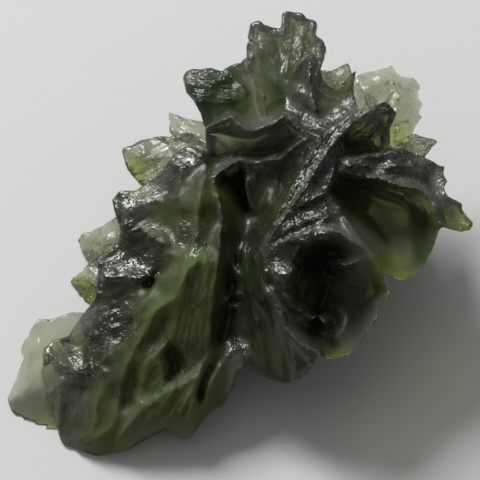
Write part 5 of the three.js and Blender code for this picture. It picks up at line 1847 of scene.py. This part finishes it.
@dataclass
class Stone:
    """The moldavite, one piece of glass. Lengths are grid squares.

    hidden_margin is how far inside the outline a hidden fin grows, fin_inset how far inside it stays,
    fin_cover how far behind the front it stays, and least_body how thick the body is where one grows.
    shell_clearance keeps fins off the thin shells. The front's scoops bite where it is frosted by
    least_frost or more. A point of the surface turns to the front from least_facing on, and scoops and
    fins stay clear_of_ground over the ground.

    The mesh is thinned to most_triangles. Its depth is felt at probe_steps, from thin_depth, which is a
    petal, to full_depth, which is the body. The thin walls of the cup get painted olive light, at the
    strength given for walls. A crest stands crest_height out of its neighbourhood, in metres, which
    crest_rounds widen.
    """

    sheets: SheetMaker = SheetMaker()
    fins: Fins = Fins(seed=5, limit=110, spacing=1.9)
    large_scoops: Scoops = Scoops(11, 320, radius=(1.8, 3.4), bite=(0.35, 0.5), stretch=1.9, spacing=1.9)
    small_scoops: Scoops = Scoops(12, 900, radius=(0.8, 1.6), bite=(0.15, 0.3), stretch=2.4, spacing=1.0)
    front_scoops: Scoops = Scoops(13, 900, radius=(0.6, 1.2), bite=(0.25, 0.45), stretch=2.6, spacing=0.7)
    hidden_margin: float = 2.0
    fin_inset: float = 0.4
    least_body: float = 3.0
    shell_clearance: float = 30.0
    fin_cover: float = 0.5
    least_frost: float = 0.35
    least_facing: float = 0.1
    clear_of_ground: float = 1.5
    most_triangles: int = 190000
    probe_steps: tuple[float, ...] = (0.5, 1.0, 1.5, 2.0, 3.0, 4.0)
    thin_depth: float = 0.7
    full_depth: float = 2.0
    # How strong the painted olive light on the thin walls of the cup is.
    wall_olive_light: float = 0.8
    crest_rounds: int = 2
    crest_height: float = 0.00009

    def sculpt(self) -> tuple[Block, Sheet]:
        """Joins the sheets, bitten by scoops on both sides, and grows fins on the hidden side.

        Returns:
            The glass, and the body's sheet.
        """
        body = self.sheets.body()
        petals = [self.sheets.petal(name, petal) for name, petal in PETALS.items()]
        plain = Block()
        for sheet in (body, *petals):
            plain.join(sheet)
            log.info("sheet %s", sheet.name)
        points, _ = plain.skin()
        hidden = self.turned(plain, points, Side.BACK)
        front = self.turned(plain, points, Side.FRONT)
        frosted = patched(FROSTED, front[:, 0], front[:, 1]) > self.least_frost
        front_bites = self.front_scoops.eat(plain, front[frosted])
        small_bites = self.small_scoops.eat(plain, hidden)
        large_bites = self.large_scoops.eat(plain, hidden)
        block = Block()
        block.join(body, {Side.FRONT: front_bites, Side.BACK: np.maximum(small_bites, large_bites)})
        for petal in petals:
            block.join(petal, {Side.FRONT: front_bites, Side.BACK: small_bites})
        np.minimum(block.field, self.hidden_fins(plain, body, hidden), out=block.field)
        block.cut_at_ground()
        block.soften()
        return block, body

    def hidden_fins(self, block: Block, body: Sheet, points: np.ndarray) -> np.ndarray:
        """Grows fins on the hidden side, where the body is thick, out of sight from the front.

        Args:
            block: the glass.
            body: the body's sheet.
            points: the surface points of the hidden side.

        Returns:
            How far each cell of the block is from a fin, negative inside.
        """
        nodes = tuple(np.rint((points[:, :2] - body.grid.low) / body.grid.step).astype(int).T)
        thick = (body.front - body.back)[nodes] > self.least_body
        fins = self.fins.grow(block, points[thick & (body.outline[nodes] < -self.hidden_margin)])
        stride = block.stride(body.grid)
        shells = patched(THIN_WALLS, *body.grid.nodes(body.grid.step))
        outline = body.outline + self.fin_inset + self.shell_clearance * shells
        outline = outline[::stride, ::stride, None].astype(np.float32)
        front = block.gap(body, Side.FRONT) + self.fin_cover
        return np.maximum.reduce([fins, front, np.broadcast_to(outline, fins.shape)])

    def turned(self, block: Block, points: np.ndarray, side: Side) -> np.ndarray:
        """The surface points whose normals turn to one side.

        Args:
            block: the glass.
            points: its surface points.
            side: the side.

        Returns:
            Those points, without the ones near the ground.
        """
        height = points[:, 1] * LEAN_SIN + points[:, 2] * LEAN_COS + REST_HEIGHT
        facing = block.normals(points)[:, 2] * side.value
        turned = facing > self.least_facing * side.value
        return points[turned & (height > self.clear_of_ground)]

    def depths(self, block: Block, points: np.ndarray) -> np.ndarray:
        """How deep the glass is behind points of its surface.

        Args:
            block: the glass.
            points: the points.

        Returns:
            The depth behind each, from 0 in a petal to 1 in the body.
        """
        inwards = -block.normals(points)
        deepest = np.max([-block.depth(points + inwards * step) for step in self.probe_steps], axis=0)
        return np.clip((deepest - self.thin_depth) / (self.full_depth - self.thin_depth), 0, 1)

    def build(self) -> tuple[bpy.types.Object, Placing]:
        """Makes the stone's mesh.

        Returns:
            The stone, and where its drawing stands.
        """
        block, body = self.sculpt()
        points, triangles = largest_piece(*block.skin())
        if signed_volume(points, triangles) < 0:
            triangles = triangles[:, ::-1]
        placing = Placing.centred(points)
        log.info("glass of %d triangles", len(triangles))
        mesh = bpy.data.meshes.new("moldavite_stone")
        mesh.from_pydata(placing.place(points).tolist(), [], triangles.tolist())
        stone = bpy.data.objects.new("moldavite_stone", mesh)
        bpy.context.scene.collection.objects.link(stone)
        if len(triangles) > self.most_triangles:
            thin = stone.modifiers.new("thin", "DECIMATE")
            thin.ratio = self.most_triangles / len(triangles)
            bake_modifiers(stone)
        self.mark(stone, block, body, placing)
        return stone, placing

    def mark(self, stone: bpy.types.Object, block: Block, body: Sheet, placing: Placing) -> None:
        """Writes what the finish needs to know at each vertex.

        crest is how far it stands out, frost, satin and streak how strongly the glass is so, deep how
        thick it is behind, and flow the place among the streaks. The olive mark is how strongly painted
        olive light tints raised satin folds and thin walls, and the lime mark how strongly edges get a
        painted lime glow.

        Args:
            stone: the stone.
            block: the glass that it was skinned from.
            body: the body's sheet.
            placing: where its drawing stands.
        """
        mesh = stone.data
        points = vertices_of(mesh)
        drawn = placing.back(points)
        place = drawn[:, 0], drawn[:, 1]
        nodes = np.rint((drawn[:, :2] - body.grid.low) / body.grid.step).astype(int)
        nodes = tuple(np.clip(nodes, 0, np.array(body.front.shape) - 1).T)
        satin = patched(SATIN_FOLDS, *place)
        folds = satin * self.sheets.relief(body)[nodes]
        thick = np.where(body.outline[nodes] < 0, patched(THICK_EDGES, *place), 0)
        thick = np.maximum(thick, patched(DARK_PETALS, *place))
        streak, flow = flow_at(drawn)
        marks = {
            "crest": np.clip(convexity(mesh, points, self.crest_rounds) / self.crest_height, -1, 1),
            "frost": patched(FROSTED, *place),
            "satin": satin,
            # Painted olive light: on raised satin folds, and on the cup's thin walls.
            "olive_light": np.maximum(folds, self.wall_olive_light * patched(THIN_WALLS, *place)),
            # Painted lime glow on edges where light comes through.
            "lime_glow": patched(LIME_GLOW_EDGES, *place),
            "deep": np.maximum(self.depths(block, drawn), thick),
            "streak": streak,
        }
        for name, values in marks.items():
            write_attribute(mesh, name, values)
        vectors = mesh.attributes.new("flow", "FLOAT_VECTOR", "POINT").data
        vectors.foreach_set("vector", flow.ravel().astype(np.float32))

    def dress(self, stone: bpy.types.Object, glass: bpy.types.Material, etching: Etching) -> None:
        """Etches the stone, keeps it over the ground and gives it its glass.

        Args:
            stone: the stone.
            glass: its material.
            etching: its fine relief.
        """
        etching.apply(stone, glass)
        points = vertices_of(stone.data)
        points[:, 2] = np.maximum(points[:, 2], 0)
        stone.data.vertices.foreach_set("co", points.ravel())
        stone.data.shade_smooth()


def vertices_of(mesh: bpy.types.Mesh) -> np.ndarray:
    """The places of a mesh's vertices.

    Args:
        mesh: the mesh.

    Returns:
        The places, one in a row.
    """
    points = np.zeros(len(mesh.vertices) * 3)
    mesh.vertices.foreach_get("co", points)
    return points.reshape(-1, 3)


def write_attribute(mesh: bpy.types.Mesh, name: str, values: np.ndarray) -> None:
    """Writes a number for each vertex to a mesh."""
    mesh.attributes.new(name, "FLOAT", "POINT").data.foreach_set("value", values.astype(np.float32))


def flow_at(points: np.ndarray) -> tuple[np.ndarray, np.ndarray]:
    """How the glass is streaked at points of the face grid.

    Args:
        points: the points.

    Returns:
        How strongly each is streaked, and its place across, along and out of the streaks, in widths.
    """
    strength = np.zeros(len(points))
    flow = np.zeros((len(points), 3))
    for number, streaks in enumerate(STREAKS):
        here = cover(streaks, points[:, 0], points[:, 1])
        turn = math.radians(streaks.angle)
        along = points[:, 0] * math.cos(turn) + points[:, 1] * math.sin(turn)
        beside = points[:, 1] * math.cos(turn) - points[:, 0] * math.sin(turn)
        length = streaks.width * STREAK_LENGTH
        place = np.stack([beside / streaks.width, along / length, points[:, 2] / streaks.width], 1)
        stronger = here > strength
        flow[stronger] = place[stronger] + number
        strength = np.maximum(strength, here)
    return strength, flow


@dataclass(frozen=True)
class Studio:
    """The floor, the light and the camera. Sizes are metres.

    paper is the floor's colour and tooth its grain. The window is a square lamp. The room is as bright as
    sky_strength towards the window, and as room elsewhere, and sky_edge is where one turns into the other.
    The camera sees view_squares across, from camera_distance.
    """

    floor_width: float = 1.6
    floor_gap: float = 0.00002
    paper: tuple[float, float, float] = (0.80, 0.80, 0.79)
    paper_roughness: float = 0.85
    tooth: Grain = Grain(scale=900.0, detail=6.0, strength=0.2, depth=0.0001)
    window_size: float = 0.22
    window_distance: float = 0.60
    window_power: float = 3.15
    window_direction: Point = (-0.415, 0.592, 0.693)
    sky: tuple[float, float, float] = (0.84, 0.84, 0.84)
    sky_strength: float = 0.5
    sky_edge: tuple[float, float] = (0.5, 0.98)
    room: float = 0.17
    camera_distance: float = 0.6
    nearest: float = 0.01
    view_squares: float = 48.0

    def film(self) -> None:
        """Shows colours as they are, without a film look."""
        bpy.context.scene.view_settings.view_transform = "Standard"

    def floor(self) -> bpy.types.Object:
        """Lays the floor, a sheet of pale paper.

        Returns:
            The floor.
        """
        half = self.floor_width / 2
        sides = ((-half, -half), (half, -half), (half, half), (-half, half))
        corners = [(x, y, -self.floor_gap) for x, y in sides]
        mesh = bpy.data.meshes.new("floor")
        mesh.from_pydata(corners, [], [(0, 1, 2, 3)])
        mesh.materials.append(self.paper_finish())
        floor = bpy.data.objects.new("floor", mesh)
        bpy.context.scene.collection.objects.link(floor)
        return floor

    def paper_finish(self) -> bpy.types.Material:
        """Matt pale paper with a faint tooth.

        Returns:
            The material.
        """
        material = bpy.data.materials.new("paper")
        material.use_nodes = True
        recipe = Recipe(material.node_tree)
        place = recipe.add("ShaderNodeTexCoord").outputs["Object"]
        bump = recipe.bump(self.tooth, recipe.noise(place, self.tooth.scale, self.tooth.detail))
        paper = material.node_tree.nodes["Principled BSDF"]
        paper.inputs["Base Color"].default_value = (*self.paper, 1)
        paper.inputs["Roughness"].default_value = self.paper_roughness
        material.node_tree.links.new(bump, paper.inputs["Normal"])
        return material

    def window(self, target: Vector) -> None:
        """Hangs the window light behind the stone, to the left.

        Args:
            target: what it shines at.
        """
        lamp = bpy.data.lights.new("window", "AREA")
        lamp.shape = "SQUARE"
        lamp.size = self.window_size
        lamp.energy = self.window_power
        light = bpy.data.objects.new("window", lamp)
        direction = Vector(self.window_direction).normalized()
        light.location = target + direction * self.window_distance
        light.rotation_euler = direction.to_track_quat("Z", "Y").to_euler()
        bpy.context.scene.collection.objects.link(light)

    def fill(self) -> None:
        """Lights the room softly, brighter towards the window than behind the viewer."""
        world = bpy.data.worlds.new("room")
        world.use_nodes = True
        recipe = Recipe(world.node_tree)
        looking = recipe.add("ShaderNodeTexCoord").outputs["Generated"]
        towards = tuple(Vector(self.window_direction).normalized())
        facing = recipe.add("ShaderNodeVectorMath", {0: looking, 1: towards}, operation="DOT_PRODUCT")
        strength = recipe.spread(facing.outputs["Value"], *self.sky_edge, self.room, self.sky_strength)
        background = world.node_tree.nodes["Background"]
        background.inputs["Color"].default_value = (*self.sky, 1)
        world.node_tree.links.new(strength, background.inputs["Strength"])
        bpy.context.scene.world = world

    def camera(self, origin: Vector) -> None:
        """Points the camera straight at the broad face.

        Args:
            origin: the origin of the face grid.
        """
        lens = bpy.data.cameras.new("camera")
        half_width = self.view_squares * SQUARE / 2
        lens.angle = 2 * math.atan(half_width / self.camera_distance)
        lens.clip_start = self.nearest
        across, up, out = (1, 0, 0), (0, LEAN_COS, LEAN_SIN), (0, -LEAN_SIN, LEAN_COS)
        turn = Matrix((across, up, out)).transposed().to_4x4()
        camera = bpy.data.objects.new("camera", lens)
        camera.matrix_world = Matrix.Translation(origin + Vector(out) * self.camera_distance) @ turn
        bpy.context.scene.collection.objects.link(camera)
        bpy.context.scene.camera = camera


def main() -> None:
    """Builds the stone and its studio."""
    logging.basicConfig(level=logging.INFO, format="%(name)s: %(message)s")
    maker = Stone()
    stone, placing = maker.build()
    maker.dress(stone, MoldaviteGlass().make(), Etching())
    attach(stone, "root")
    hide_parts(NODE)
    log.info("stone of %d triangles", len(stone.data.polygons))
    studio = Studio()
    studio.film()
    studio.floor()
    origin = Vector(placing.origin)
    studio.window(origin)
    studio.fill()
    studio.camera(origin)
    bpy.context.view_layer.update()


if __name__ == "__main__":
    main()
